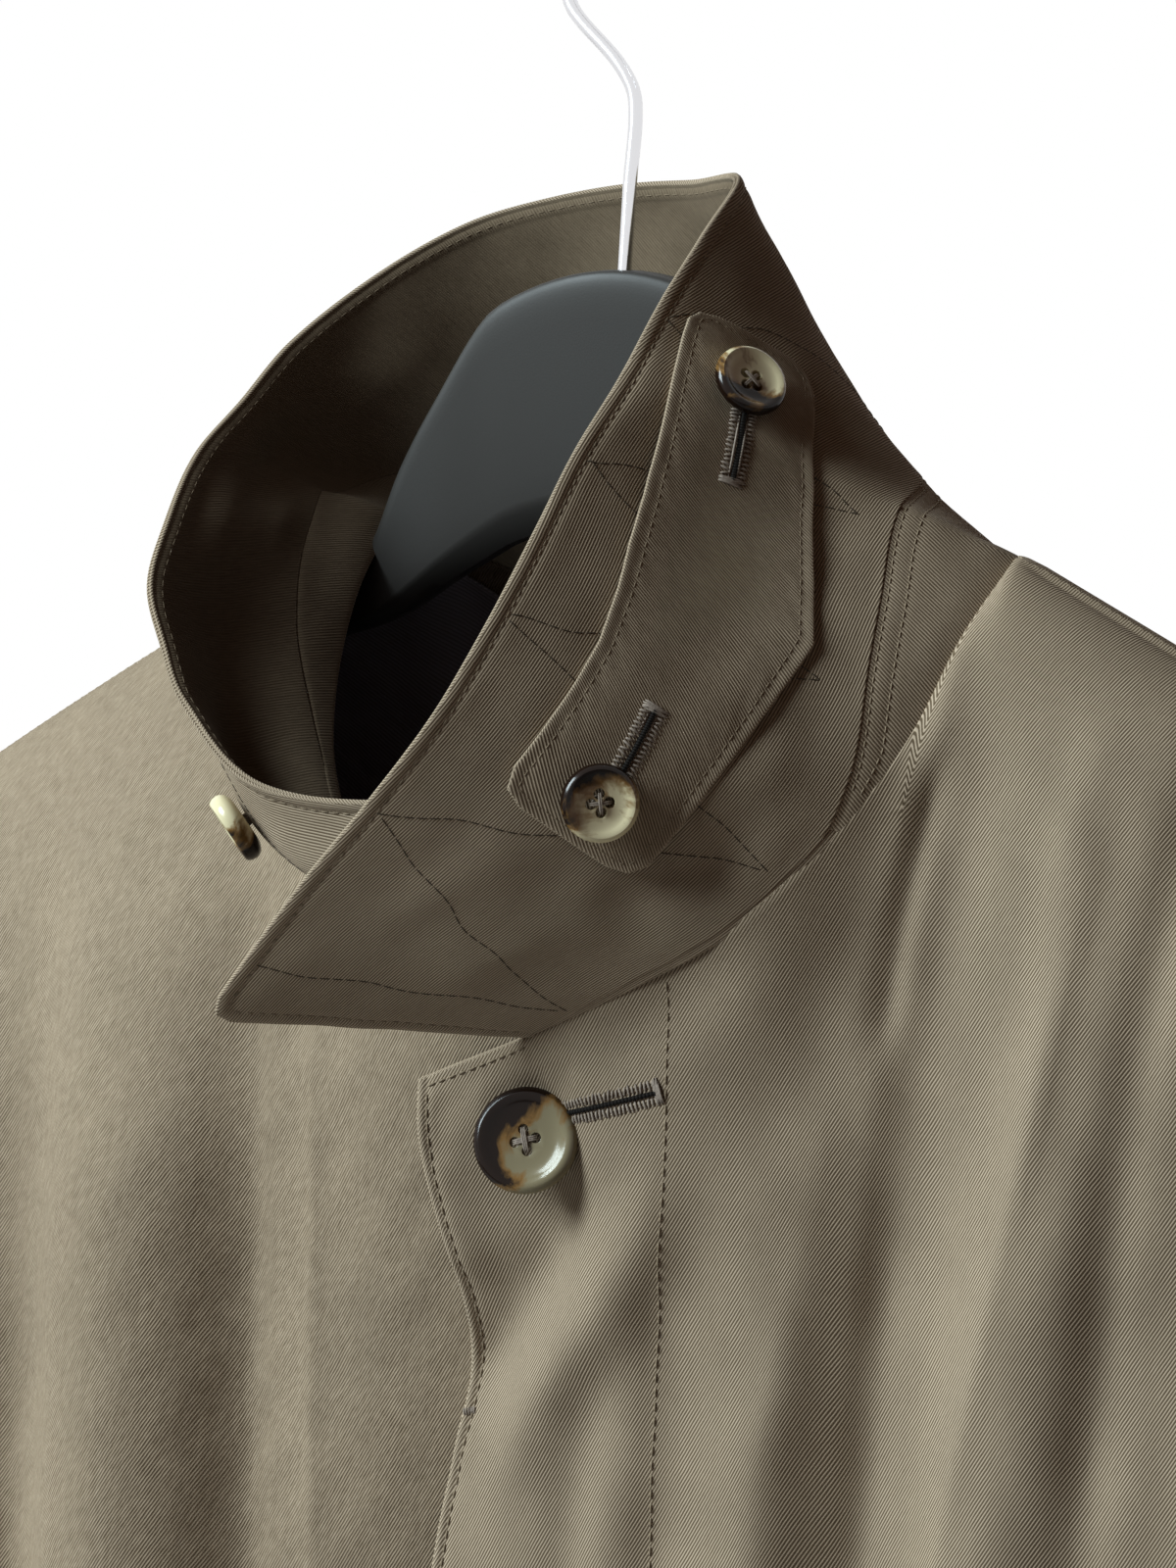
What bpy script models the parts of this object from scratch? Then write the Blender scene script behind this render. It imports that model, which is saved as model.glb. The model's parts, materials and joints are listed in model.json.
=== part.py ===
"""A mackintosh hung on a coat hanger, its collar turned up and its throat latch buttoned.

Sizes are millimetres.  The coat's tables are written from the middle of its neck, between the
two neck points; COAT_AT places that point below the seat of the hanger's hook, which is the origin.
The coat's front faces -Y and the wearer's left is +X.
"""

import math
from collections import namedtuple

import bmesh
import bpy
from mathutils import Matrix, Vector

MM = 0.001
COLLECTION = "mackintosh on hanger"
COAT = "coat"           # the empty at the middle of the neck that carries the pieces
COAT_AT = Vector((12.0, -5.5, -134.0))

CLOTH = 1.8             # body and sleeve cloth with its inside layer
COLLAR_CLOTH = 2.6      # two layers and the canvas between them
LATCH_CLOTH = 2.0
LATCH_GAP = 1.5         # clear of the collar's flats
LINING_CLOTH = 1.0
LINING_GAP = 0.9
SEAM_GAP = 0.3
LAP_INSET = 8.0         # the right front lies this far behind the left one at the opening

LEAVE = 150.0           # pull of the top edge on the threads that leave it
SHOULDER_SLOPE = 0.55   # fall of the shoulder for each millimetre out
CHEST_Z = -330.0
HEM_Z = -1072.0
CUFF_Z = -672.0
UPPER_ARM_Z = -356.0

# One row for a station along the top edge of a panel: where it is, whether the cloth leaves it
# level (1) or straight down (0), how far it leans inward, and where its thread meets the chest
# and hem rings.
Top = namedtuple("Top", "x y z level lean share")

FRONT_NECK = (
    Top(-24, -62, -98, 0.05, 0.00, 0.000),
    Top(0, -61, -87, 0.05, 0.00, 0.080),
    Top(20, -62, -76, 0.10, 0.00, 0.142),
    Top(42, -56, -62, 0.20, 0.00, 0.210),
    Top(57, -45, -45, 0.40, -0.04, 0.262),
    Top(67, -32, -29, 0.60, -0.10, 0.308),
    Top(72, -18, -11, 0.80, -0.15, 0.346),
    Top(76, 0, 1, 1.00, -0.20, 0.385),
)
BACK_NECK = (
    Top(0, 50, -22, 0.20, 0.00, 0.000),
    Top(45, 42, -15, 0.45, 0.00, 0.150),
    Top(68, 22, -6, 0.85, -0.10, 0.265),
    Top(76, 0, 1, 1.00, -0.20, 0.335),
)
FRONT_SHOULDER = (
    Top(76, 0, 1, 1.00, -0.20, 0.385),
    Top(136, -1, -28, 1.00, 0.05, 0.530),
    Top(182, -2, -53, 1.00, 0.28, 0.620),
    Top(222, -4, -78, 1.00, 0.50, 0.690),
)
BACK_SHOULDER = (
    Top(76, 0, 1, 1.00, -0.20, 0.335),
    Top(136, -1, -28, 1.00, 0.05, 0.500),
    Top(182, -2, -53, 1.00, 0.28, 0.605),
    Top(222, -4, -78, 1.00, 0.50, 0.690),
)
FRONT_ARMHOLE = (
    Top(222, -4, -78, 1.00, 0.50, 0.690),
    Top(216, -32, -130, 0.55, 0.35, 0.770),
    Top(211, -46, -200, 0.25, 0.15, 0.850),
    Top(211, -36, -262, 0.10, 0.05, 0.925),
    Top(214, 0, -304, 0.00, 0.00, 1.000),
)
BACK_ARMHOLE = (
    Top(222, -4, -78, 1.00, 0.50, 0.690),
    Top(217, 28, -130, 0.55, 0.35, 0.770),
    Top(213, 46, -200, 0.25, 0.15, 0.850),
    Top(212, 37, -262, 0.10, 0.05, 0.925),
    Top(214, 0, -304, 0.00, 0.00, 1.000),
)

# Plan of each half ring from the opening, or the centre back, round to the side seam.
FRONT_CHEST = ((-25, -61), (30, -63), (90, -70), (150, -68), (194, -48), (212, -16), (214, 0))
FRONT_HEM = ((-25, -86), (40, -90), (120, -96), (195, -84), (236, -52), (249, -17), (250, 0))
BACK_CHEST = ((0, 66), (80, 68), (150, 63), (195, 45), (212, 16), (214, 0))
BACK_HEM = ((0, 98), (100, 97), (185, 84), (234, 54), (249, 18), (250, 0))

# One row for a fold: where it runs across the panel at its top and foot, the heights it runs
# between, the height it takes to grow, its width across and how far it stands out (or, if less
# than 0, in).
Fold = namedtuple("Fold", "share foot z_top z_foot grow width out")

LEFT_FOLDS = (
    Fold(0.000, 0.000, -98, -225, 55, 0.095, -14.0),
    Fold(0.000, 0.010, -180, -1500, 170, 0.110, 4.0),
    Fold(0.145, 0.110, -95, -300, 80, 0.060, 2.0),
    Fold(0.200, 0.195, -330, -1500, 170, 0.090, 8.0),
    Fold(0.310, 0.300, -45, -1500, 120, 0.075, -6.0),
    Fold(0.385, 0.365, -30, -1500, 120, 0.060, 6.5),
    Fold(0.460, 0.450, -40, -1500, 120, 0.070, -5.0),
    Fold(0.545, 0.555, -60, -1500, 170, 0.085, 8.0),
    Fold(0.650, 0.665, -110, -1500, 170, 0.080, -9.0),
    Fold(0.760, 0.775, -210, -1500, 170, 0.080, 10.0),
    Fold(0.870, 0.880, -340, -1500, 170, 0.080, -11.0),
)
RIGHT_FOLDS = (
    Fold(0.130, 0.130, -85, -250, 60, 0.170, -16.0),
    Fold(0.130, 0.140, -300, -1500, 170, 0.120, -6.0),
    Fold(0.260, 0.245, -70, -1500, 120, 0.050, 6.0),
    Fold(0.325, 0.315, -45, -1500, 120, 0.065, -6.0),
    Fold(0.410, 0.440, -20, -1500, 120, 0.090, 8.0),
    Fold(0.530, 0.550, -60, -1500, 170, 0.075, -7.0),
    Fold(0.630, 0.645, -110, -1500, 170, 0.080, 9.0),
    Fold(0.745, 0.755, -200, -1500, 170, 0.080, -9.0),
    Fold(0.860, 0.870, -330, -1500, 170, 0.085, 11.0),
)
BACK_FOLDS = (
    Fold(-0.780, -0.800, -150, -1500, 170, 0.080, 10.0),
    Fold(-0.640, -0.650, -90, -1500, 170, 0.080, -9.0),
    Fold(-0.470, -0.480, -60, -1500, 170, 0.090, 9.0),
    Fold(-0.300, -0.300, -80, -1500, 170, 0.085, -7.0),
    Fold(-0.120, -0.130, -120, -1500, 170, 0.090, 6.0),
    Fold(0.060, 0.070, -160, -1500, 170, 0.085, -8.0),
    Fold(0.240, 0.260, -70, -1500, 170, 0.080, 8.0),
    Fold(0.400, 0.420, -50, -1500, 170, 0.080, -7.0),
    Fold(0.560, 0.570, -80, -1500, 170, 0.085, 10.0),
    Fold(0.720, 0.730, -140, -1500, 170, 0.080, -9.0),
    Fold(0.880, 0.890, -330, -1500, 170, 0.080, 9.0),
    Fold(-0.920, -0.920, -340, -1500, 170, 0.070, -9.0),
)
# Sleeve folds run round the arm by turn (0 outside, 0.25 front, 0.5 inside, 0.75 back).
SLEEVE_FOLDS = (
    Fold(0.080, 0.070, -170, -700, 170, 0.080, 7.0),
    Fold(0.190, 0.200, -130, -560, 170, 0.075, -7.0),
    Fold(0.320, 0.300, -300, -760, 170, 0.080, 7.0),
    Fold(0.660, 0.680, -290, -700, 170, 0.080, 6.0),
    Fold(0.800, 0.790, -140, -600, 170, 0.075, -7.0),
    Fold(0.920, 0.930, -220, -760, 170, 0.080, 6.0),
)
UPPER_ARM = namedtuple("Ring", "x y across deep")(264.0, -2.0, 33.0, 84.0)
CUFF = namedtuple("Ring", "x y across deep")(296.0, -20.0, 29.0, 70.0)

# One row for a section of the turned-up collar: its place along the neck seam from the left
# front end, its edge, how far it hollows in and the part of its height that is stand.
Section = namedtuple("Section", "share x y z hollow stand")

COLLAR = (
    Section(0.000, -48.0, -98, -82, 1.0, 0.00),
    Section(0.066, -27.5, -95, -55, 3.0, 0.00),
    Section(0.100, -16.0, -91, -40, 5.0, 0.00),
    Section(0.140, -6.0, -84, -24, 7.0, 0.03),
    Section(0.178, 0.5, -75, -7, 9.0, 0.08),
    Section(0.213, 4.0, -64, 9, 10.0, 0.15),
    Section(0.250, 6.5, -53, 24, 9.0, 0.24),
    Section(0.286, 9.0, -41, 37, 7.0, 0.31),
    Section(0.322, 10.0, -27, 51, 2.5, 0.35),
    Section(0.360, 10.0, -11, 63, 0.0, 0.36),
    Section(0.414, 3.0, 16, 74, 0.0, 0.37),
    Section(0.463, -17.0, 33, 73, 2.0, 0.37),
    Section(0.500, -35.0, 36, 72, 3.0, 0.38),
    Section(0.533, -52.5, 34, 69, 3.0, 0.38),
    Section(0.565, -68.0, 27, 64, 4.0, 0.38),
    Section(0.605, -81.0, 13, 54, 5.0, 0.38),
    Section(0.653, -91.0, -6, 40, 6.0, 0.38),
    Section(0.690, -93.0, -22, 28, 6.0, 0.36),
    Section(0.725, -93.0, -38, 18, 5.0, 0.31),
    Section(0.764, -89.0, -54, 5, 4.0, 0.24),
    Section(0.797, -83.5, -68, -5, 3.0, 0.15),
    Section(0.828, -74.0, -78, -15, 2.0, 0.08),
    Section(0.856, -64.5, -85, -25, 1.0, 0.03),
    Section(0.905, -44.5, -91, -38, 0.0, 0.00),
    Section(0.950, -21.5, -83, -41, 0.0, 0.00),
    Section(1.000, 2.0, -71, -36, 0.0, 0.00),
)
STAND_ENDS = (0.140, 0.860)

# Rows of the body down its threads: 0 the top edge, 1 the chest, 2 the hem.
BODY_ROWS = (0.0, 0.012, 0.035, 0.07, 0.13, 0.21, 0.31, 0.43, 0.56, 0.70, 0.85,
             1.0, 1.2, 1.4, 1.6, 1.8, 2.0)
ARMHOLE_STEPS = 8       # of half an armhole
FRONT_NECK_STEPS = 12   # of the neck seam from its front end to the neck point
BACK_NECK_STEPS = 7     # and on to the centre back

# One row for a section of the throat latch, from its upper end to its lower one: the places
# on the collar (along, up) of its edge-side and stand-side corners.
Strap = namedtuple("Strap", "edge_share edge_up stand_share stand_up")

LATCH = (
    Strap(0.334, 0.93, 0.378, 0.66),
    Strap(0.292, 0.88, 0.322, 0.57),
    Strap(0.238, 0.81, 0.266, 0.42),
    Strap(0.188, 0.73, 0.216, 0.32),
    Strap(0.151, 0.73, 0.161, 0.33),
    Strap(0.123, 0.75, 0.107, 0.32),
)

# Hanger: half outline from the middle out, with its top, foot, middle depth and thickness.
Arm = namedtuple("Arm", "x top foot y thick")

HANGER_MID_X = -12.8
HANGER = (
    Arm(0.0, 56.0, 5.0, -4.0, 8.0),
    Arm(12.0, 54.5, 4.0, -4.0, 8.0),
    Arm(24.5, 50.0, 0.5, -4.0, 8.0),
    Arm(31.0, 45.4, -3.0, -4.0, 8.0),
    Arm(41.5, 30.0, -9.0, -4.0, 9.0),
    Arm(51.0, 15.0, -15.0, -3.5, 10.0),
    Arm(60.0, -2.0, -19.0, -3.0, 11.0),
)
HANGER_ARM_SHARES = (0.09, 0.26, 0.45, 0.68, 0.86, 0.93)
HANGER_ARM_DEEP = (15.0, 15.0, 15.0, 14.0, 12.0, 8.0)
HANGER_ARM_THICK = (14.0, 15.0, 15.0, 15.0, 14.0, 10.0)
HANGER_AROUND = 12

HOOK_WIRE = 2.8
HOOK_RADIUS = 17.0      # inside of the hook
HOOK_SHANK = 33.0
HOOK_LEAN = 7.0         # degrees, its top toward the wall

FRONT_BUTTON = 20.5
FRONT_BUTTON_AT = (0.17, 0.092)  # along the neck and down the thread
SMALL_BUTTON = 14.6
LATCH_BUTTONS = (("latch_button_upper", 0.13, 0.47), ("latch_button_lower", 0.90, 0.51))
RIGHT_BUTTON_AT = (0.902, 0.78)  # along the collar and up it
BUTTON_THICK = 3.4
BUTTON_TURN = 20
BUTTON_SEAT = 0.8       # its flat back over the curve of the cloth

# Finishes: linear colour, roughness and metallic value.
Finish = namedtuple("Finish", "colour roughness metallic")

FINISHES = {
    "gabardine": Finish((0.36, 0.30, 0.25), 0.80, 0.0),
    "lining": Finish((0.40, 0.38, 0.42), 0.55, 0.0),
    "horn": Finish((0.38, 0.27, 0.16), 0.35, 0.0),
    "hanger": Finish((0.04, 0.04, 0.045), 0.45, 0.0),
    "steel": Finish((0.70, 0.70, 0.71), 0.18, 1.0),
}


def mix(a, b, t):
    """Value a share t of the way from a to b."""
    return a + (b - a) * t


def ease(t):
    """0 to 1 with level ends."""
    t = min(max(t, 0.0), 1.0)
    return t * t * (3.0 - 2.0 * t)


def along(keys, values, t):
    """Smooth value at t through values placed at rising keys."""
    if t <= keys[0]:
        return values[0]
    if t >= keys[-1]:
        return values[-1]
    i = max(n for n in range(len(keys) - 1) if keys[n] <= t)
    span = keys[i + 1] - keys[i]

    def slope(n):
        if n == 0 or n == len(keys) - 1:
            a, b = max(n - 1, 0), min(n + 1, len(keys) - 1)
            return (values[b] - values[a]) * (1.0 / (keys[b] - keys[a]))
        return (values[n + 1] - values[n - 1]) * (1.0 / (keys[n + 1] - keys[n - 1]))

    u = (t - keys[i]) / span
    a, b = values[i], values[i + 1]
    return (a * ((1 + 2 * u) * (1 - u) ** 2) + slope(i) * (span * u * (1 - u) ** 2)
            + b * (u * u * (3 - 2 * u)) - slope(i + 1) * (span * u * u * (1 - u)))


def run_keys(points):
    """Shares of the length at which each point of a path lies."""
    runs = [0.0]
    for a, b in zip(points, points[1:]):
        runs.append(runs[-1] + (b - a).length)
    return [run / runs[-1] for run in runs]


class Panel:
    """A body panel: threads hang from its top edge to the chest ring and on to the hem ring."""

    def __init__(self, stretches, chest, hem, side, level_sign, folds, inset=0.0):
        self.side = side
        self.level_sign = level_sign
        self.folds = folds
        self.inset = inset
        self.stretches = []
        for rows in stretches:
            points = [Vector((row.x, row.y, row.z)) for row in rows]
            self.stretches.append((run_keys(points), points, rows))
        self.chest = [Vector((x, y, CHEST_Z)) for x, y in chest]
        self.hem = [Vector((x, y, HEM_Z)) for x, y in hem]
        self.chest_keys = run_keys(self.chest)
        self.hem_keys = run_keys(self.hem)

    def top(self, stretch, t):
        """Point, level, lean and share of the top edge at a share t of one stretch."""
        keys, points, rows = self.stretches[stretch]
        point = along(keys, points, t)
        level = along(keys, [row.level for row in rows], t)
        lean = along(keys, [row.lean for row in rows], t)
        share = along(keys, [row.share for row in rows], t)
        return point, level, lean, share

    def thread(self, stretch, t, down):
        """Point on a thread: down runs 0 at the top edge, 1 at the chest, 2 at the hem."""
        start, level, lean, share = self.top(stretch, t)
        chest = along(self.chest_keys, self.chest, share)
        hem = along(self.hem_keys, self.hem, share)
        fall = hem - chest
        if down >= 1.0:
            point = chest + fall * (down - 1.0)
        else:
            drop = start.z - CHEST_Z
            slope = SHOULDER_SLOPE * level * lean - drop * (1.0 - level) / LEAVE
            forward = 2.2 * (chest.y - start.y) * min(1.6 * level, 1.0)
            leave = Vector((-LEAVE * lean, forward, LEAVE * slope))
            arrive = fall.normalized() * drop
            u = down
            point = (start * ((1 + 2 * u) * (1 - u) ** 2) + leave * (u * (1 - u) ** 2)
                     + chest * (u * u * (3 - 2 * u)) - arrive * (u * u * (1 - u)))
        near = ease(1.0 - abs(point.x) / 70.0) if self.inset else 0.0
        point.y += self.inset * near
        return Vector((point.x * self.side, point.y, point.z)), share

    def place(self, stretch, t, down, out=0.0):
        """Point on the panel with its folds, moved out along the cloth's normal."""
        point, share = self.thread(stretch, t, down)
        t0, t1 = max(t - 0.02, 0.0), min(t + 0.02, 1.0)
        d0, d1 = max(down - 0.03, 0.0), min(down + 0.03, 2.0)
        across = self.thread(stretch, t1, down)[0] - self.thread(stretch, t0, down)[0]
        fall = self.thread(stretch, t, d1)[0] - self.thread(stretch, t, d0)[0]
        normal = across.cross(fall).normalized() * (self.side * self.level_sign)
        signed = share * self.side if self.level_sign > 0 else share
        return point + normal * (out + fold_out(self.folds, signed, point.z))


def fold_out(folds, share, z):
    """How far the folds of a panel stand out at a place."""
    total = 0.0
    for row in folds:
        if z > row.z_top or z < row.z_foot:
            continue
        run = (row.z_top - z) / (row.z_top - row.z_foot)
        centre = mix(row.share, row.foot, run)
        gap = (share - centre) / row.width
        if abs(gap) >= 1.0:
            continue
        grow = ease((row.z_top - z) / row.grow)
        end = ease((z - row.z_foot) / 60.0)
        total += row.out * grow * end * (0.5 + 0.5 * math.cos(math.pi * gap))
    return total


FRONT_EDGES = (FRONT_NECK, FRONT_SHOULDER, FRONT_ARMHOLE)
BACK_EDGES = (BACK_NECK, BACK_SHOULDER, BACK_ARMHOLE)
FRONT_LEFT = Panel(FRONT_EDGES, FRONT_CHEST, FRONT_HEM, 1, -1, LEFT_FOLDS)
FRONT_RIGHT = Panel(FRONT_EDGES, FRONT_CHEST, FRONT_HEM, -1, -1, RIGHT_FOLDS, LAP_INSET)
BACK_HALVES = {side: Panel(BACK_EDGES, BACK_CHEST, BACK_HEM, side, 1, BACK_FOLDS)
               for side in (-1, 1)}

NECK_POINT_SHARE = 0.295        # of the neck seam, from its front end
NECK_END = FRONT_LEFT.stretches[0][0][1]


def neck_seam(share):
    """Point on the neck seam from the left front end round the back to the right front end."""
    side = 1 if share <= 0.5 else -1
    half = min(share, 1.0 - share)
    front = FRONT_LEFT if side > 0 else FRONT_RIGHT
    if half <= NECK_POINT_SHARE:
        return front.thread(0, mix(NECK_END, 1.0, half / NECK_POINT_SHARE), 0.0)[0]
    back = (0.5 - half) / (0.5 - NECK_POINT_SHARE)
    return BACK_HALVES[side].thread(0, back, 0.0)[0]


COLLAR_SHARES = [row.share for row in COLLAR]
COLLAR_EDGE = [Vector((row.x, row.y, row.z)) for row in COLLAR]
COLLAR_HOLLOW = [row.hollow for row in COLLAR]
COLLAR_STAND = [row.stand for row in COLLAR]


def collar_plain(share, up):
    """Point on the collar's outer face, 0 at the neck seam and 1 at its edge."""
    foot = neck_seam(share)
    edge = along(COLLAR_SHARES, COLLAR_EDGE, share)
    hollow = along(COLLAR_SHARES, COLLAR_HOLLOW, share)
    step = neck_seam(min(share + 0.01, 1.0)) - neck_seam(max(share - 0.01, 0.0))
    inward = (edge - foot).cross(step).normalized()
    return foot + (edge - foot) * up + inward * (hollow * math.sin(math.pi * up) ** 2)


def collar_place(share, up, out=0.0):
    """Point on the collar and its outward normal, moved out along it."""
    s0, s1 = max(share - 0.008, 0.0), min(share + 0.008, 1.0)
    u0, u1 = max(up - 0.04, 0.0), min(up + 0.04, 1.0)
    step = collar_plain(s1, up) - collar_plain(s0, up)
    rise = collar_plain(share, u1) - collar_plain(share, u0)
    normal = step.cross(rise).normalized()
    return collar_plain(share, up) + normal * out, normal


def collar_height(share):
    """Height of the collar at a place along the seam."""
    return (along(COLLAR_SHARES, COLLAR_EDGE, share) - neck_seam(share)).length


def armhole(turn):
    """Point on the right-hand armhole by turn: 0 shoulder, 0.5 underarm, front then back."""
    if turn <= 0.5:
        rows, t = FRONT_ARMHOLE, turn * 2.0
    else:
        rows, t = BACK_ARMHOLE, (1.0 - turn) * 2.0
    points = [Vector((row.x, row.y, row.z)) for row in rows]
    return along(run_keys(points), points, t)


def sleeve_place(turn, down, side):
    """Point on a sleeve: down runs 0 at the armhole, 1 at the upper arm, 2 at the cuff."""
    turn %= 1.0
    start = armhole(turn) + Vector((0.9, 0.0, 0.0))
    angle = 2.0 * math.pi * turn
    round_x, round_y = math.cos(angle), -math.sin(angle)
    upper = Vector((UPPER_ARM.x + UPPER_ARM.across * round_x,
                    UPPER_ARM.y + UPPER_ARM.deep * round_y, UPPER_ARM_Z))
    cuff = Vector((CUFF.x + CUFF.across * round_x, CUFF.y + CUFF.deep * round_y, CUFF_Z))
    fall = cuff - upper
    if down >= 1.0:
        point = upper + fall * (down - 1.0)
    else:
        drop = start.z - UPPER_ARM_Z
        top = 0.5 + 0.5 * round_x
        leave = Vector((mix(0.35, 1.0, top), 0.35 * round_y, mix(-1.0, -0.50, top))).normalized()
        leave *= mix(60.0, 165.0, top)
        arrive = fall.normalized() * (drop * 1.1)
        u = down
        point = (start * ((1 + 2 * u) * (1 - u) ** 2) + leave * (u * (1 - u) ** 2)
                 + upper * (u * u * (3 - 2 * u)) - arrive * (u * u * (1 - u)))
    swell = Vector((round_x, round_y, 0.0)) * fold_out(SLEEVE_FOLDS, turn, point.z)
    point += swell * ease((down - 0.15) / 0.6)
    return Vector((point.x * side, point.y, point.z))


def finish_material(finish):
    """Material of a finish, made once."""
    material = bpy.data.materials.get(finish)
    if material is None:
        material = bpy.data.materials.new(finish)
        material.use_nodes = True
        shader = material.node_tree.nodes["Principled BSDF"]
        look = FINISHES[finish]
        shader.inputs["Base Color"].default_value = (*look.colour, 1.0)
        shader.inputs["Roughness"].default_value = look.roughness
        shader.inputs["Metallic"].default_value = look.metallic
    return material


def new_object(name, data, finish, parent=None):
    """Object in the coat's collection with its finish, placed under a parent."""
    data.materials.append(finish_material(finish))
    thing = bpy.data.objects.new(name, data)
    thing.parent = parent
    bpy.data.collections[COLLECTION].objects.link(thing)
    return thing


def new_mesh(name, work):
    """Smooth-shaded mesh from a bmesh, which is freed."""
    mesh = bpy.data.meshes.new(name)
    work.to_mesh(mesh)
    work.free()
    mesh.shade_smooth()
    return mesh


def sheet(name, columns, rows, place, thick, wrap=False, flip=False, finish="gabardine"):
    """Thin wall of cloth: a grid whose points are placed by column and row, then thickened in."""
    work = bmesh.new()
    bmesh.ops.create_grid(work, x_segments=len(columns) - 1, y_segments=len(rows) - 1, size=0.5)
    for vert in work.verts:
        column = columns[round((vert.co.x + 0.5) * (len(columns) - 1))]
        row = rows[round((vert.co.y + 0.5) * (len(rows) - 1))]
        vert.co = place(column, row) * MM
    if wrap:
        bmesh.ops.remove_doubles(work, verts=work.verts, dist=0.00002)
    if flip:
        bmesh.ops.reverse_faces(work, faces=work.faces)
    thing = new_object(name, new_mesh(name, work), finish, bpy.data.objects[COAT])
    wall = thing.modifiers.new("cloth", "SOLIDIFY")
    wall.thickness = thick * MM
    wall.offset = -1.0


def shares(count, start=0.0, end=1.0):
    """Evenly spaced shares."""
    return [mix(start, end, n / count) for n in range(count + 1)]


def seam_start(stretch, t):
    """Share of a thread left open at its top seam, more at the shoulder's end where the wall turns."""
    opening = 3.5 if (stretch, t) == (1, 1.0) else 1.0
    return opening * SEAM_GAP / 110.0


def front_columns():
    """Threads of a front: lap, neck, shoulder and armhole, each end shared with the next."""
    columns = [(0, t) for t in shares(2, 0.0, NECK_END)]
    columns += [(0, t) for t in shares(FRONT_NECK_STEPS, NECK_END, 1.0)[1:]]
    columns += [(1, t) for t in shares(6)[1:]]
    columns += [(2, t) for t in shares(ARMHOLE_STEPS)[1:-1] + [0.992]]
    return columns


def build_fronts(rows):
    """The two fronts, the left lapped over the right."""
    for name, panel, flip in (("front_left", FRONT_LEFT, True), ("front_right", FRONT_RIGHT, False)):
        def place(column, down, panel=panel):
            return panel.place(*column, down or seam_start(*column))
        sheet(name, front_columns(), rows, place, CLOTH, flip=flip)


def build_back(rows):
    """The back in one piece from side seam to side seam."""
    half = [(2, t) for t in [0.992] + shares(ARMHOLE_STEPS)[-2::-1]]
    half += [(1, t) for t in reversed(shares(5)[:-1])]
    half += [(0, t) for t in reversed(shares(BACK_NECK_STEPS)[:-1])]
    columns = [(-1, stretch, t) for stretch, t in half]
    columns += [(1, stretch, t) for stretch, t in reversed(half[:-1])]

    def place(column, down):
        half, stretch, t = column
        return BACK_HALVES[half].place(stretch, t, down or seam_start(stretch, t))

    sheet("back", columns, rows, place, CLOTH)


def build_lining(rows):
    """The part of the back's lining that shows through the neck, laid inside the back."""
    half = [(1, t) for t in reversed(shares(5)[:4])]
    half += [(0, t) for t in reversed(shares(BACK_NECK_STEPS)[:-1])]
    columns = [(-1, stretch, t) for stretch, t in half]
    columns += [(1, stretch, t) for stretch, t in reversed(half[:-1])]

    def place(column, down):
        half, stretch, t = column
        return BACK_HALVES[half].place(stretch, t, down, -(CLOTH + LINING_GAP))

    sheet("back_lining", columns, rows, place, LINING_CLOTH, finish="lining")


def build_sleeves():
    """Two open tubes hung from the armholes."""
    rows = (0.0, 0.16, 0.34, 0.54, 0.76, 1.0, 1.16, 1.33, 1.5, 1.66, 1.83, 2.0)
    for name, side in (("sleeve_left", 1), ("sleeve_right", -1)):
        def place(turn, down, side=side):
            return sleeve_place(turn, down, side)
        sheet(name, shares(2 * ARMHOLE_STEPS), rows, place, CLOTH, wrap=True, flip=side < 0)


def build_collar():
    """The fall and the crescent stand of the turned-up collar."""
    def fall(share, up):
        foot = along(COLLAR_SHARES, COLLAR_STAND, share)
        gap = 2.0 * SEAM_GAP / collar_height(share)
        return collar_place(share, mix(foot + gap, 1.0, up))[0]

    def stand(share, up):
        top = along(COLLAR_SHARES, COLLAR_STAND, share)
        foot = 2.0 * SEAM_GAP / collar_height(share)
        return collar_place(share, mix(foot, top, up))[0]

    left = shares(FRONT_NECK_STEPS, 0.0, NECK_POINT_SHARE)
    left += shares(BACK_NECK_STEPS, NECK_POINT_SHARE, 0.5)[1:]
    whole = left + [1.0 - share for share in reversed(left[:-1])]
    inner = [share for share in whole if STAND_ENDS[0] < share < STAND_ENDS[1]]
    sheet("collar_fall", whole, shares(6), fall, COLLAR_CLOTH)
    sheet("collar_stand", inner, shares(2), stand, COLLAR_CLOTH)


def latch_place(run, across, out):
    """Point on the throat latch: along its length, across from the collar's edge side."""
    keys = shares(len(LATCH) - 1)
    share = mix(along(keys, [row.edge_share for row in LATCH], run),
                along(keys, [row.stand_share for row in LATCH], run), across)
    up = mix(along(keys, [row.edge_up for row in LATCH], run),
             along(keys, [row.stand_up for row in LATCH], run), across)
    return collar_place(share, up, out)


def build_latch():
    """The strap that lies buttoned on the outside of the left collar."""
    def place(run, across):
        return latch_place(run, across, LATCH_GAP + LATCH_CLOTH)[0]

    sheet("throat_latch", shares(12), shares(4), place, LATCH_CLOTH)


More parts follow.
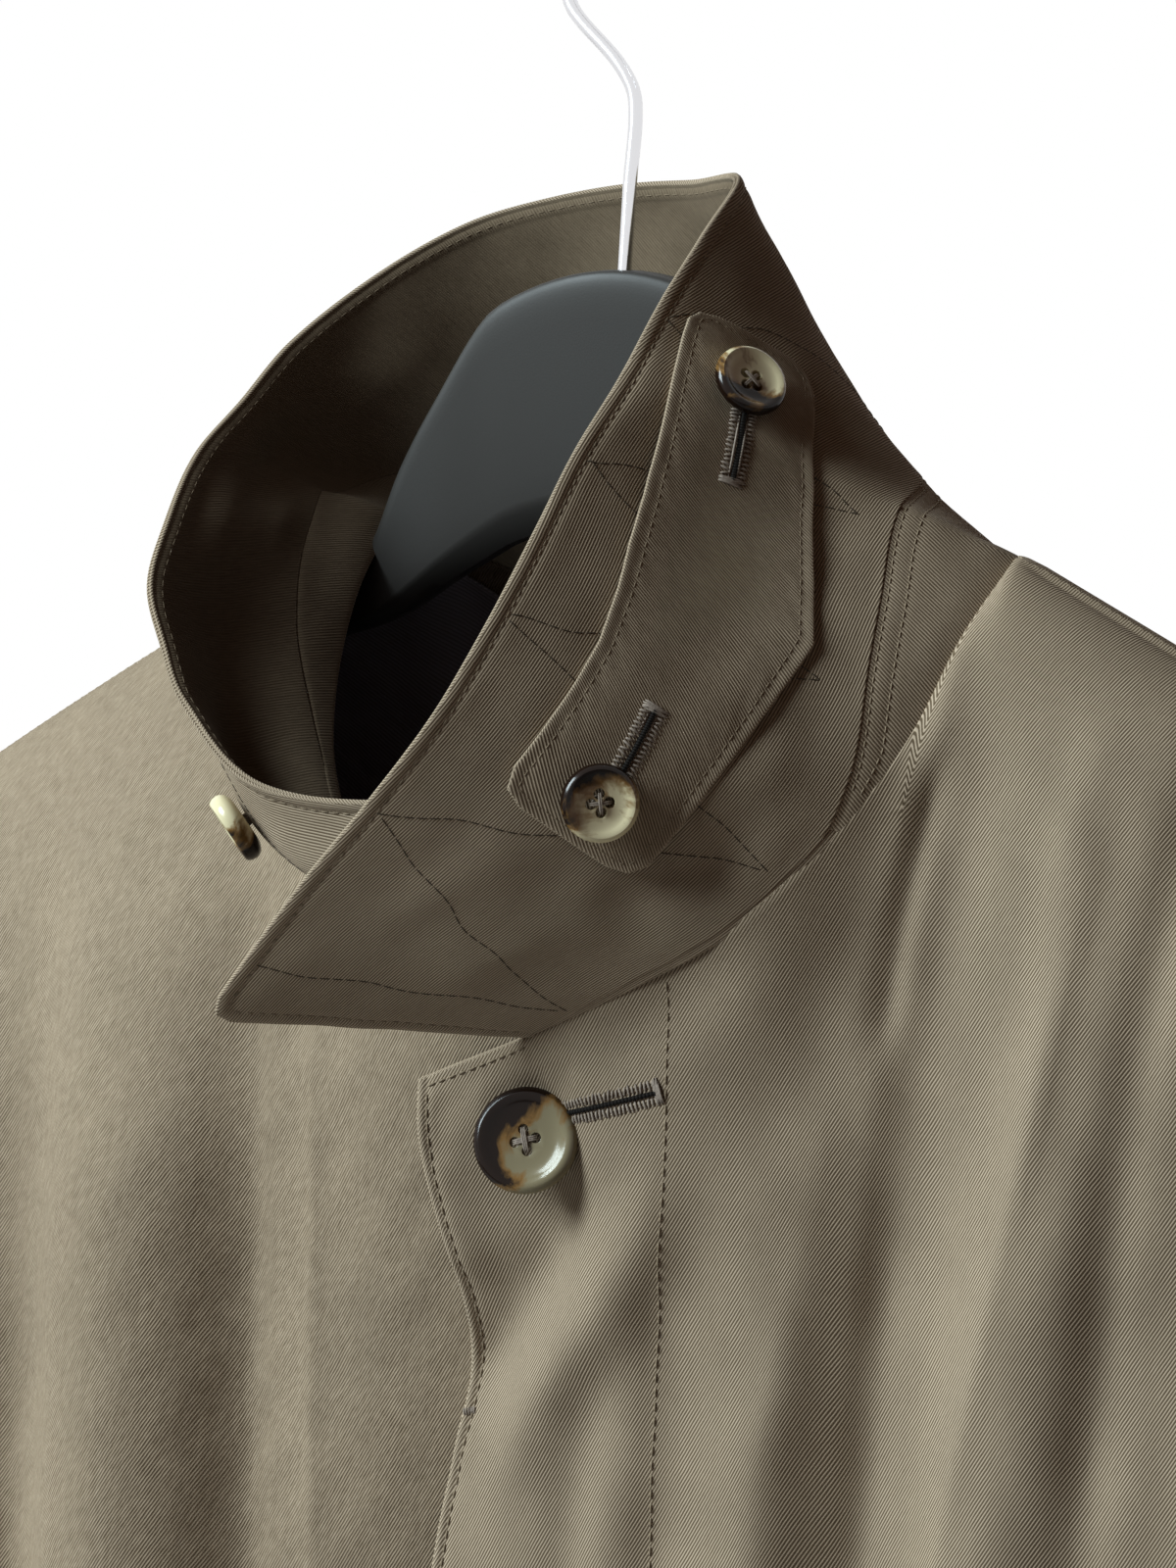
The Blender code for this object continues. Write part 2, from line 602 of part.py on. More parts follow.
def build_button(name, width, point, normal):
    """A turned button with a rim and a dished middle, sitting just off the cloth."""
    radius = width / 2.0
    profile = ((0.0, BUTTON_THICK * 0.66), (radius * 0.62, BUTTON_THICK * 0.72),
               (radius * 0.86, BUTTON_THICK), (radius * 0.97, BUTTON_THICK * 0.86),
               (radius, BUTTON_THICK * 0.42), (radius * 0.72, 0.0), (0.0, 0.0))
    work = bmesh.new()
    corners = [work.verts.new(Vector((across, 0.0, up)) * MM) for across, up in profile]
    for a, b in zip(corners, corners[1:]):
        work.edges.new((a, b))
    thing = new_object(name, new_mesh(name, work), "horn", bpy.data.objects[COAT])
    turned = thing.modifiers.new("turned", "SCREW")
    turned.steps = BUTTON_TURN
    turned.render_steps = BUTTON_TURN
    turned.use_merge_vertices = True
    turned.merge_threshold = 0.00001
    thing.location = (point + normal * BUTTON_SEAT) * MM
    thing.rotation_euler = normal.to_track_quat("Z", "Y").to_euler()


def panel_normal(panel, stretch, t, down):
    """Outward normal of a panel's cloth."""
    return (panel.place(stretch, t, down, 1.0) - panel.place(stretch, t, down)).normalized()


def build_buttons():
    """One button on the front, two on the throat latch and one on the right of the collar."""
    build_button("front_button", FRONT_BUTTON, FRONT_LEFT.place(0, *FRONT_BUTTON_AT),
                 panel_normal(FRONT_LEFT, 0, *FRONT_BUTTON_AT))
    for name, run, across in LATCH_BUTTONS:
        build_button(name, SMALL_BUTTON, *latch_place(run, across, LATCH_GAP + LATCH_CLOTH))
    build_button("collar_button_right", SMALL_BUTTON, *collar_place(*RIGHT_BUTTON_AT))


def build_hanger():
    """Contoured hanger: a raised middle plate and two arms under the shoulders."""
    stations = []
    for row in HANGER:
        stations.append((row.x, HANGER_MID_X, row.top, row.foot, row.y, row.thick))
    points = [Vector((row.x, row.y, row.z)) for row in FRONT_SHOULDER]
    keys = run_keys(points)
    for share, deep, thick in zip(HANGER_ARM_SHARES, HANGER_ARM_DEEP, HANGER_ARM_THICK):
        point = along(keys, points, share)
        top = point.z - CLOTH - LINING_GAP - LINING_CLOTH - SEAM_GAP
        stations.append((point.x, 0.0, top, top - deep, point.y, thick))
    whole = [(-x, mid, top, foot, y, thick) for x, mid, top, foot, y, thick in reversed(stations[1:])]
    whole += stations
    work = bmesh.new()
    bmesh.ops.create_grid(work, x_segments=len(whole) - 1, y_segments=HANGER_AROUND, size=0.5)
    for vert in work.verts:
        x, mid, top, foot, y, thick = whole[round((vert.co.x + 0.5) * (len(whole) - 1))]
        angle = 2.0 * math.pi * round((vert.co.y + 0.5) * HANGER_AROUND) / HANGER_AROUND
        square = max(abs(math.sin(angle)), abs(math.cos(angle))) ** -0.35
        vert.co = Vector((x + mid, y + 0.5 * thick * math.sin(angle) * square,
                          0.5 * (top + foot) + 0.5 * (top - foot) * math.cos(angle))) * MM
    bmesh.ops.remove_doubles(work, verts=work.verts, dist=0.00002)
    bmesh.ops.holes_fill(work, edges=work.edges, sides=HANGER_AROUND)
    bmesh.ops.recalc_face_normals(work, faces=work.faces)
    new_object("hanger_body", new_mesh("hanger_body", work), "hanger", bpy.data.objects[COAT])


def hook_path():
    """Middle line of the hook's wire, from the hanger's top up and round, in its own plane."""
    ring = HOOK_RADIUS + HOOK_WIRE / 2.0
    top = HANGER[0].top + COAT_AT.z
    middle = Vector((0.0, -ring + HOOK_WIRE / 2.0))
    path = [Vector((0.0, top + 0.4)), Vector((0.0, top + HOOK_SHANK * 0.5)),
            Vector((0.0, top + HOOK_SHANK))]
    path.append(Vector((-4.0, top + HOOK_SHANK + 7.0)))
    for degrees in range(215, -1, -18):
        angle = math.radians(degrees)
        path.append(middle + Vector((math.cos(angle), math.sin(angle))) * ring)
    path.append(middle + Vector((ring + 1.2, -6.0)))
    return path


def build_hook():
    """Bent steel wire with its seat at the origin, leaning back as it hangs."""
    lean = math.tan(math.radians(HOOK_LEAN))
    curve = bpy.data.curves.new("hanger_hook", "CURVE")
    curve.dimensions = "3D"
    curve.bevel_depth = HOOK_WIRE / 2.0 * MM
    curve.bevel_resolution = 2
    curve.use_fill_caps = True
    path = hook_path()
    line = curve.splines.new("POLY")
    line.points.add(len(path) - 1)
    for point, place in zip(line.points, path):
        point.co = (place.x * MM, place.y * lean * MM, place.y * MM, 1.0)
    new_object("hanger_hook", curve, "steel")


def clear_scene():
    """Empty scene with a collection for the parts and an empty that carries the coat."""
    for thing in list(bpy.data.objects):
        bpy.data.objects.remove(thing)
    collection = bpy.data.collections.new(COLLECTION)
    bpy.context.scene.collection.children.link(collection)
    coat = bpy.data.objects.new(COAT, None)
    coat.location = COAT_AT * MM
    collection.objects.link(coat)
    bpy.context.view_layer.update()


def main():
    """Build every piece of the coat and its hanger."""
    clear_scene()
    build_fronts(BODY_ROWS)
    build_back(BODY_ROWS)
    build_lining(BODY_ROWS[3:10])
    build_sleeves()
    build_collar()
    build_latch()
    build_buttons()
    build_hanger()
    build_hook()


if __name__ == "__main__":
    main()
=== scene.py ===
"""Looks of a mackintosh that hangs on a coat hanger, its collar turned up and latched open.

Sizes are millimetres.  The coat is measured from the middle of its neck, between the two neck
points; COAT_AT places that point below the seat of the hanger's hook, which is the origin.
The coat's front faces -Y and the wearer's left is +X.
"""

from __future__ import annotations

import json
import logging
import math
from dataclasses import dataclass, field
from enum import Enum
from functools import partial
from typing import Callable, NamedTuple, Sequence

import bpy
import numpy as np
from bpy.types import Material, Mesh, Node, NodeSocket, NodeTree, Object
from mathutils import Matrix, Vector
from mathutils.bvhtree import BVHTree

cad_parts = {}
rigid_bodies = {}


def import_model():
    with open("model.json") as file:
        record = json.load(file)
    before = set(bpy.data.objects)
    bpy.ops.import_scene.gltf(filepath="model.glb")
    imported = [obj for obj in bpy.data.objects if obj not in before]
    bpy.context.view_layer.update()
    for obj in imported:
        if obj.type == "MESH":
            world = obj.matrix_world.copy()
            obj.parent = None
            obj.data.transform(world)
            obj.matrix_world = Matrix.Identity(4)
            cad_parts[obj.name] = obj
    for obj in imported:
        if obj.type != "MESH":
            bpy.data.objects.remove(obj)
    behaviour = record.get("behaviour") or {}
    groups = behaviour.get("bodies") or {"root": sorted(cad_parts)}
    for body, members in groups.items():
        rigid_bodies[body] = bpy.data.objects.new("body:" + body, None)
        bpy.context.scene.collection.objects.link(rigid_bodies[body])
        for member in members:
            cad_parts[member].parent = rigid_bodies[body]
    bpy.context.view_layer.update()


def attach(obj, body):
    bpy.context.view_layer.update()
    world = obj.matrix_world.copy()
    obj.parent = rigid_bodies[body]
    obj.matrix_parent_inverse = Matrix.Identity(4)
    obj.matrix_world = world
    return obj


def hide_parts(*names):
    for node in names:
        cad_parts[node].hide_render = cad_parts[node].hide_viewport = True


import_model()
LOG = logging.getLogger("mackintosh")
Array = np.ndarray

MM = 0.001
COAT_AT = np.array((12.0, -5.5, -134.0))
LEAVE = 150.0           # pull of a top edge on the threads that leave it
SHOULDER_SLOPE = 0.55
CHEST_Z, HEM_Z = -330.0, -1072.0
UPPER_ARM_Z, CUFF_Z = -356.0, -672.0
YOKE, SKIRT = 250.0, CHEST_Z - HEM_Z    # lengths of the panels over the chest and under it
HEM_TURN = 28.0         # height of the turned hems, where their stitches lie
CUFF_FALL = 320.0       # length of a sleeve under the upper arm
NECK_LONG = 460.0       # length of the neck seam
COLLAR_HIGH = 84.0
BIAS = 52.0             # angle at which the twill crosses a turned edge


class Top(NamedTuple):
    """Station of a panel's top edge: place, how level the cloth leaves it, lean and ring share."""

    x: float
    y: float
    z: float
    level: float
    lean: float
    share: float


class Fold(NamedTuple):
    """Long fold of a panel: course by share, its top, how far it stands out, width, foot and growth."""

    share: float
    foot: float
    z_top: float
    out: float
    width: float
    z_foot: float = -1500.0
    grow: float = 170.0


class CreaseKind(Enum):
    """How a crease is shaped across its line."""

    SOFT = "soft"
    PRESSED = "pressed"


class Crease(NamedTuple):
    """Crease placed along a path, as a ridge (out above 0) or a trough."""

    path: tuple[tuple[float, float], ...]
    width: float
    out: float
    kind: CreaseKind = CreaseKind.SOFT
    fade: float = 0.30


class Section(NamedTuple):
    """Section of the collar: share of the neck seam, edge, hollow and share that is stand."""

    share: float
    x: float
    y: float
    z: float
    hollow: float
    stand: float


class Strap(NamedTuple):
    """Section of the throat latch: collar places of its two long edges."""

    edge_share: float
    edge_up: float
    stand_share: float
    stand_up: float


class Arm(NamedTuple):
    """Station of the hanger from its middle out."""

    x: float
    top: float
    foot: float
    y: float
    thick: float


class Row(NamedTuple):
    """Row of stitches: distance from stitch to stitch, their length, the thread's radius and lift."""

    pitch: float
    length: float
    radius: float = 0.24
    lift: float = 0.05


FRONT_NECK = (
    Top(-24, -62, -98, 0.05, 0, 0), Top(0, -61, -87, 0.05, 0, 0.08), Top(20, -62, -76, 0.1, 0, 0.142),
    Top(42, -56, -62, 0.2, 0, 0.21), Top(57, -45, -45, 0.4, -0.04, 0.262),
    Top(65.5, -32, -28, 0.6, -0.1, 0.308), Top(69.5, -18, -10, 0.8, -0.15, 0.346),
    Top(72.5, 0, 3.5, 1, -0.2, 0.385))
BACK_NECK = (
    Top(0, 50, -22, 0.2, 0, 0), Top(45, 42, -15, 0.45, 0, 0.15), Top(66, 22, -4.5, 0.85, -0.1, 0.265),
    Top(72.5, 0, 3.5, 1, -0.2, 0.335))
FRONT_SHOULDER = (
    Top(72.5, 0, 3.5, 1, -0.2, 0.385), Top(136, -1, -28, 1, 0.05, 0.53), Top(182, -2, -53, 1, 0.28, 0.62),
    Top(222, -4, -78, 1, 0.5, 0.69))
BACK_SHOULDER = (
    Top(72.5, 0, 3.5, 1, -0.2, 0.335), Top(136, -1, -28, 1, 0.05, 0.5), Top(182, -2, -53, 1, 0.28, 0.605),
    Top(222, -4, -78, 1, 0.5, 0.69))
FRONT_ARMHOLE = (
    Top(222, -4, -78, 1, 0.5, 0.69), Top(216, -32, -130, 0.55, 0.35, 0.77),
    Top(211, -46, -200, 0.25, 0.15, 0.85), Top(211, -36, -262, 0.1, 0.05, 0.925),
    Top(214, 0, -304, 0, 0, 1))
BACK_ARMHOLE = (
    Top(222, -4, -78, 1, 0.5, 0.69), Top(217, 28, -130, 0.55, 0.35, 0.77),
    Top(213, 46, -200, 0.25, 0.15, 0.85), Top(212, 37, -262, 0.1, 0.05, 0.925), Top(214, 0, -304, 0, 0, 1))
FRONT_CHEST = ((-25, -61), (30, -63), (90, -70), (150, -68), (194, -48), (212, -16), (214, 0))
FRONT_HEM = ((-25, -86), (40, -90), (120, -96), (195, -84), (236, -52), (249, -17), (250, 0))
BACK_CHEST = ((0, 66), (80, 68), (150, 63), (195, 45), (212, 16), (214, 0))
BACK_HEM = ((0, 98), (100, 97), (185, 84), (234, 54), (249, 18), (250, 0))

LEFT_FOLDS = (
    Fold(0, 0, -98, -5.8, 0.095, -225, 55), Fold(0, 0.01, -180, 4, 0.11),
    Fold(0.145, 0.11, -95, 2, 0.06, -300, 80), Fold(0.2, 0.195, -330, 8, 0.09),
    Fold(0.285, 0.2, -70, 6, 0.085, -430, 120), Fold(0.374, 0.25, -45, -4.9, 0.088, -430, 95),
    Fold(0.488, 0.366, -30, 6.2, 0.07, -430, 110), Fold(0.56, 0.505, -40, 1.5, 0.08, -430, 110),
    Fold(0.63, 0.59, -60, 3.6, 0.085, -430, 150), Fold(0.3, 0.29, -320, -7, 0.085),
    Fold(0.39, 0.385, -330, 7, 0.08), Fold(0.48, 0.485, -310, -7, 0.08), Fold(0.58, 0.59, -330, 9, 0.085),
    Fold(0.69, 0.7, -110, -9, 0.075), Fold(0.785, 0.795, -210, 10, 0.075),
    Fold(0.875, 0.885, -340, -11, 0.075))
RIGHT_FOLDS = (
    Fold(0.1, 0.13, -85, -2.6, 0.15, -250, 60), Fold(0.13, 0.14, -230, -5, 0.12),
    Fold(0.255, 0.245, -70, 1.2, 0.08, -1500, 120), Fold(0.325, 0.318, -45, -3.2, 0.07, -1500, 120),
    Fold(0.445, 0.49, -20, 10.4, 0.116, -1500, 120), Fold(0.545, 0.56, -60, -5.5, 0.06),
    Fold(0.63, 0.645, -110, 9, 0.08), Fold(0.745, 0.755, -200, -9, 0.08), Fold(0.86, 0.87, -330, 11, 0.085))
BACK_FOLDS = (
    Fold(-0.78, -0.8, -150, 10, 0.08), Fold(-0.64, -0.65, -90, -9, 0.08), Fold(-0.47, -0.48, -60, 9, 0.09),
    Fold(-0.3, -0.3, -80, -7, 0.085), Fold(-0.12, -0.13, -120, 6, 0.09), Fold(0.06, 0.07, -160, -8, 0.085),
    Fold(0.24, 0.26, -70, 8, 0.08), Fold(0.4, 0.42, -50, -7, 0.08), Fold(0.56, 0.57, -80, 10, 0.085),
    Fold(0.72, 0.73, -140, -9, 0.08), Fold(0.88, 0.89, -330, 9, 0.08), Fold(-0.92, -0.92, -340, -9, 0.07))
SLEEVE_FOLDS = (
    Fold(0.08, 0.07, -170, 7, 0.08, -700), Fold(0.19, 0.2, -130, -7, 0.075, -560),
    Fold(0.32, 0.3, -300, 7, 0.08, -760), Fold(0.66, 0.68, -290, 6, 0.08, -700),
    Fold(0.8, 0.79, -140, -7, 0.075, -600), Fold(0.92, 0.93, -220, 6, 0.08, -760))

# Creases of the fronts and back run by x and z on the hung coat.
LEFT_CREASES = (
    Crease(((105, -30), (104, -48), (100.7, -91), (97.3, -118), (93.7, -144), (90, -166), (84, -240)), 4.6,
           1.7, CreaseKind.PRESSED, 0.22), Crease(((-20, -142), (-12.8, -138), (-4, -132)), 5.5, -1),
    Crease(((14, -108), (7, -122), (2, -134), (-6, -146), (-15, -158), (-22, -172)), 7, -3.4),
    Crease(((36, -94), (29, -110), (23, -127), (16, -139), (6, -152), (0, -160), (-8, -177), (-16, -200)),
           7.5, 2.8), Crease(((22, -138), (15, -155), (12, -170), (9, -185), (6, -215)), 6.5, -2.6),
    Crease(((32, -100), (29.5, -127), (28, -155), (27, -177), (26, -215)), 4, -0.3),
    Crease(((46, -88), (48, -127), (46, -155), (42, -185)), 14, 2.4),
    Crease(((72.8, -24), (72.2, -33), (71.2, -46), (69.7, -60), (68.7, -73), (67.5, -90)), 3.3, -2,
           fade=0.25), Crease(((80, -26), (79, -46), (77, -62), (75, -82)), 7, -1.6),
    Crease(((101, -14), (99.5, -40), (99.5, -60), (99, -95), (97, -125)), 4.5, 1.2),
    Crease(((-24, -94), (-22, -106), (-19, -120), (-15, -135), (-13, -148)), 8, 2.8),
    Crease(((6, -92), (3, -104), (1, -116), (0, -128)), 8, -2.4), Crease(((2, -92), (1, -102)), 2, -0.8),
    Crease(((8, -90), (7.5, -98)), 2.2, -0.8), Crease(((50, -62), (33, -75), (20, -86), (9, -97)), 8, -1.9),
    Crease(((60, -52), (45, -72), (34, -84)), 9, 1.3), Crease(((-18, -99), (-19, -116)), 2.4, -0.7),
    Crease(((-9, -95), (-11, -108)), 2.6, 0.6),
    Crease(((121, -12), (120, -40), (119, -60), (117, -90), (116, -130), (114, -190)), 5, -2, fade=0.2),
    Crease(((140, -70), (134, -120), (131, -190)), 10, -1.6),
    Crease(((76, -150), (60, -215), (38, -300), (30, -380)), 16, -2),
    Crease(((196, -120), (176, -190), (150, -270)), 16, 2.4),
    Crease(((205, -170), (190, -250), (172, -330)), 14, -2.2),
    Crease(((40, -420), (64, -520), (70, -640)), 22, -2.6),
    Crease(((150, -460), (130, -600), (138, -760)), 24, 2.6))
RIGHT_CREASES = (
    Crease(((-56.5, -78), (-56, -96), (-54.8, -130), (-53, -200), (-50, -290)), 2.4, 0.8,
           CreaseKind.PRESSED, 0.2), Crease(((-37, -84), (-36, -130), (-34, -200), (-31, -290)), 14, 1.4),
    Crease(((-78, -72), (-77, -130), (-73, -190), (-70, -250)), 8, -1.2),
    Crease(((-112, -40), (-116, -90), (-112, -150)), 10, 1.2),
    Crease(((-134, -60), (-128, -130), (-124, -210)), 11, -1.6),
    Crease(((-200, -130), (-180, -200), (-160, -290)), 16, 2.2),
    Crease(((-207, -185), (-190, -262), (-176, -345)), 14, -2.4),
    Crease(((-60, -400), (-76, -520), (-70, -660)), 22, -2.4),
    Crease(((-150, -430), (-136, -560), (-146, -720)), 24, 2.4))
BACK_CREASES = (
    Crease(((-196, -140), (-170, -200), (-130, -270)), 15, 2.4),
    Crease(((-204, -190), (-182, -262), (-150, -340)), 14, -2.4),
    Crease(((-60, -70), (-72, -150), (-66, -240)), 14, -1.6),
    Crease(((-20, -60), (-14, -140), (-24, -230)), 13, 1.5),
    Crease(((66, -70), (60, -160), (72, -260)), 14, 1.8),
    Crease(((120, -70), (130, -160), (118, -280)), 15, -1.9),
    Crease(((198, -150), (176, -220), (146, -300)), 15, 2.5),
    Crease(((30, -420), (46, -560), (36, -700)), 24, -2.6),
    Crease(((-110, -440), (-96, -580), (-108, -760)), 24, 2.6))
# Creases of a sleeve run by turn round it, 300 to a turn, and by z.
SLEEVE_CREASES = (
    Crease(((20, -150), (52, -230), (70, -320)), 14, -2.6),
    Crease(((44, -390), (76, -420), (112, -412)), 13, -3),
    Crease(((50, -432), (84, -462), (122, -446)), 12, 2.4),
    Crease(((230, -380), (262, -404), (292, -398)), 13, -2.4),
    Crease(((90, -520), (110, -580), (104, -650)), 16, 2),
    Crease(((255, -470), (246, -560), (252, -640)), 17, -2.2))
# Creases of the collar run by share of the neck seam, times NECK_LONG, and by height, times COLLAR_HIGH.
COLLAR_CREASES = (
    Crease(((193, 20), (197, 50), (202, 80)), 8, -2.2), Crease(((210, 18), (213, 46), (214, 82)), 7, 1.7),
    Crease(((226, 16), (229, 50), (228, 80)), 7.5, -2), Crease(((243, 20), (246, 56), (250, 82)), 8, 1.6),
    Crease(((276, 22), (282, 50), (292, 76)), 11, -2.4), Crease(((306, 20), (314, 44), (322, 74)), 11, 2.2),
    Crease(((336, 24), (342, 52), (345, 76)), 10, -2), Crease(((62, 6), (52, 18), (38, 26)), 9, -1.6),
    Crease(((84, 14), (72, 26), (60, 32)), 8, 1.2), Crease(((20, 20), (32, 44), (46, 66)), 12, 1),
    Crease(((104, 50), (118, 62), (132, 78)), 11, -1))

COLLAR = (
    Section(0, -48, -98, -82, 0, 0), Section(0.066, -26.4, -96.6, -54.6, 0, 0),
    Section(0.1, -13.2, -95.1, -39.2, 0, 0), Section(0.14, -2.2, -89.8, -23, 0, 0),
    Section(0.178, 3.7, -80, -6.3, 1, 0.061), Section(0.213, 6.1, -67.4, 9.4, 3, 0.145),
    Section(0.25, 7.5, -54.7, 24.1, 4, 0.207), Section(0.286, 9, -41, 37, 4, 0.282),
    Section(0.322, 10, -27, 51, 1.5, 0.312), Section(0.36, 10, -11, 63, 0, 0.333),
    Section(0.414, 3, 16, 74, 0, 0.35), Section(0.463, -17, 33, 73, 2, 0.365),
    Section(0.5, -35, 36, 72, 3, 0.38), Section(0.533, -52.5, 34, 69, 3, 0.38),
    Section(0.565, -68, 27, 64, 2, 0.38), Section(0.605, -81, 13, 54, 0, 0.38),
    Section(0.653, -91, -6, 40, -3, 0.38), Section(0.69, -93, -22, 28, -4, 0.36),
    Section(0.725, -93, -38, 18, -4, 0.31), Section(0.764, -89, -54, 5, -3, 0.24),
    Section(0.797, -87.6, -61.2, -6.2, -4, 0.14), Section(0.828, -82.1, -64.4, -17.5, -5, 0.045),
    Section(0.856, -75.7, -66.4, -28.4, -7.5, 0), Section(0.905, -56.7, -70.7, -41.7, -6.5, 0),
    Section(0.95, -30.7, -67.8, -43.8, -5, 0), Section(1, -3.1, -62.5, -37.6, -3, 0))
LATCH = (
    Strap(0.327, 0.937, 0.343, 0.653), Strap(0.314, 0.924, 0.318, 0.583), Strap(0.293, 0.891, 0.296, 0.519),
    Strap(0.269, 0.848, 0.269, 0.44), Strap(0.247, 0.813, 0.243, 0.36), Strap(0.225, 0.791, 0.219, 0.299),
    Strap(0.206, 0.766, 0.197, 0.316), Strap(0.188, 0.748, 0.175, 0.326), Strap(0.171, 0.747, 0.153, 0.328),
    Strap(0.152, 0.753, 0.129, 0.32), Strap(0.124, 0.762, 0.1065, 0.308))
# Apexes of the zigzag sewing that holds the undercollar's canvas, by share and height.
ZIGZAG = (
    (0.027, 0.985), (0.027, 0.03), (0.1, 0.97), (0.13, 0.06), (0.184, 0.965), (0.207, 0.24), (0.249, 0.975),
    (0.284, 0.36), (0.318, 0.975), (0.395, 0.42), (0.425, 0.97), (0.48, 0.42), (0.53, 0.97), (0.575, 0.42),
    (0.622, 0.97), (0.68, 0.4), (0.728, 0.97), (0.778, 0.26), (0.822, 0.965), (0.842, 0.06), (0.862, 0.97),
    (0.955, 0.1), (0.976, 0.97))
HANGER = (
    Arm(0, 56, 5, -4, 8), Arm(12, 54.5, 4, -4, 8), Arm(24.5, 50, 0.5, -4, 8), Arm(31, 45.4, -3, -4, 8),
    Arm(41.5, 30, -9, -4, 9), Arm(51, 15, -15, -3.5, 10), Arm(60, -2, -19, -3, 11))
EDGE_ROW, EDGE_UNDER = Row(2.3, 1.8, 0.17, 0.02), Row(2.3, 1.8, 0.11, 0)
STAND_ROW, LATCH_ROW = Row(2.1, 1.65, 0.17, 0), Row(2.1, 1.6, 0.12, 0)
ZIGZAG_ROW, SHOULDER_ROW = Row(2.4, 2.4, 0.12, 0.02), Row(2.4, 1.9, 0.16, -0.06)
PLACKET_ROW, FLY_ROW = Row(2.8, 2.2), Row(2.9, 2.3)
NECK_ROW, HEM_ROW = Row(2.4, 1.9), Row(3.4, 2.7)
# Line of the fly's stitches by x and z on the hung coat.
FLY_LINE = ((29.3, -71), (30.5, -110.8), (29.7, -128.3), (27.9, -163.8), (26.9, -187.5), (26, -330),
            (30, -600), (34, -880))


def linear(colour: str) -> tuple[float, float, float, float]:
    """Linear colour of an sRGB hex value.

    Args:
        colour: Six hex digits after a hash.

    Returns:
        Red, green, blue and alpha as a shader socket takes them.
    """
    values = [int(colour[n:n + 2], 16) / 255.0 for n in (1, 3, 5)]
    red, green, blue = (v / 12.92 if v <= 0.04045 else ((v + 0.055) / 1.055) ** 2.4 for v in values)
    return red, green, blue, 1.0


def plug(tree: NodeTree, node: Node, inputs: dict) -> None:
    """Fill a node's sockets.

    Args:
        tree: Node tree of the node.
        node: The node.
        inputs: Values for its sockets; a socket of another node is linked.
    """
    for key, value in inputs.items():
        if isinstance(value, NodeSocket):
            tree.links.new(value, node.inputs[key])
        else:
            node.inputs[key].default_value = value


def add_node(tree: NodeTree, kind: str, inputs: dict | None = None, **settings: object) -> Node:
    """Add a node, set it and link it.

    Args:
        tree: Node tree that takes the node.
        kind: Blender's name of the node type, after its ShaderNode.
        inputs: Values for its sockets; a socket of another node is linked.
        **settings: Properties of the node itself.

    Returns:
        The new node.
    """
    node = tree.nodes.new("ShaderNode" + kind)
    for name, value in settings.items():
        setattr(node, name, value)
    plug(tree, node, inputs or {})
    return node


def new_material(name: str) -> tuple[Material, Callable[..., Node], Callable[[dict], None]]:
    """Start a material.

    Args:
        name: Name of the material.

    Returns:
        The material, what adds a node to it and what fills its shader's sockets.
    """
    material = bpy.data.materials.new(name)
    material.use_nodes = True
    tree = material.node_tree
    return material, partial(add_node, tree), partial(plug, tree, tree.nodes["Principled BSDF"])


def unit(vectors: Array) -> Array:
    """Vectors of length one along the last axis."""
    return vectors / np.maximum(np.linalg.norm(vectors, axis=-1, keepdims=True), 1e-9)


def ease(t: Array) -> Array:
    """0 to 1 with level ends."""
    t = np.clip(t, 0.0, 1.0)
    return t * t * (3.0 - 2.0 * t)


def hump(gap: Array, at: float, reach: float) -> Array:
    """1 at a distance, fading to 0 on both sides of it."""
    return np.exp(-((gap - at) / reach) ** 2)


def bent(u: Array, start: Array, leave: Array, end: Array, arrive: Array) -> Array:
    """Curve from start to end that leaves and arrives along given vectors, at parts u of its way."""
    return (start * ((1 + 2 * u) * (1 - u) ** 2) + leave * (u * (1 - u) ** 2)
            + end * (u * u * (3 - 2 * u)) - arrive * (u * u * (1 - u)))


def along(keys: Sequence[float], values: Sequence, t: Array) -> Array:
    """Smooth values through points placed at rising keys.

    Args:
        keys: Rising places of the points.
        values: A number or a vector at each key.
        t: Places to read, of any shape.

    Returns:
        Values with the shape of t, and the vectors' own axis after it.
    """
    keys, values = np.asarray(keys, float), np.asarray(values, float)
    t = np.clip(np.asarray(t, float), keys[0], keys[-1])
    lift = (slice(None),) + (None,) * (values.ndim - 1)
    slopes = np.empty_like(values)
    slopes[1:-1] = (values[2:] - values[:-2]) / (keys[2:] - keys[:-2])[lift]
    slopes[0] = (values[1] - values[0]) / (keys[1] - keys[0])
    slopes[-1] = (values[-1] - values[-2]) / (keys[-1] - keys[-2])
    i = np.clip(np.searchsorted(keys, t, side="right") - 1, 0, keys.size - 2)
    shape = t.shape + (1,) * (values.ndim - 1)
    span = (keys[i + 1] - keys[i]).reshape(shape)
    u = (t.reshape(shape) - keys[i].reshape(shape)) / span
    return bent(u, values[i], slopes[i] * span, values[i + 1], slopes[i + 1] * span)


def running(points: Array, axis: int = 0) -> Array:
    """Lengths from the start of a path, or of each column (axis 0) or row (axis 1) of a grid of points."""
    steps = np.linalg.norm(np.diff(points, axis=axis), axis=-1)
    return np.concatenate((np.zeros_like(np.take(steps, [0], axis)), np.cumsum(steps, axis=axis)), axis=axis)


def run_keys(points: Array) -> Array:
    """Shares of a path's length at which its points lie."""
    runs = running(points)
    return runs / runs[-1]


def read_rows(values: Array, keys: Array, at: Array) -> Array:
    """Rows of a table at places between its keys."""
    return np.stack([np.interp(at, keys, column) for column in values.T], axis=-1)


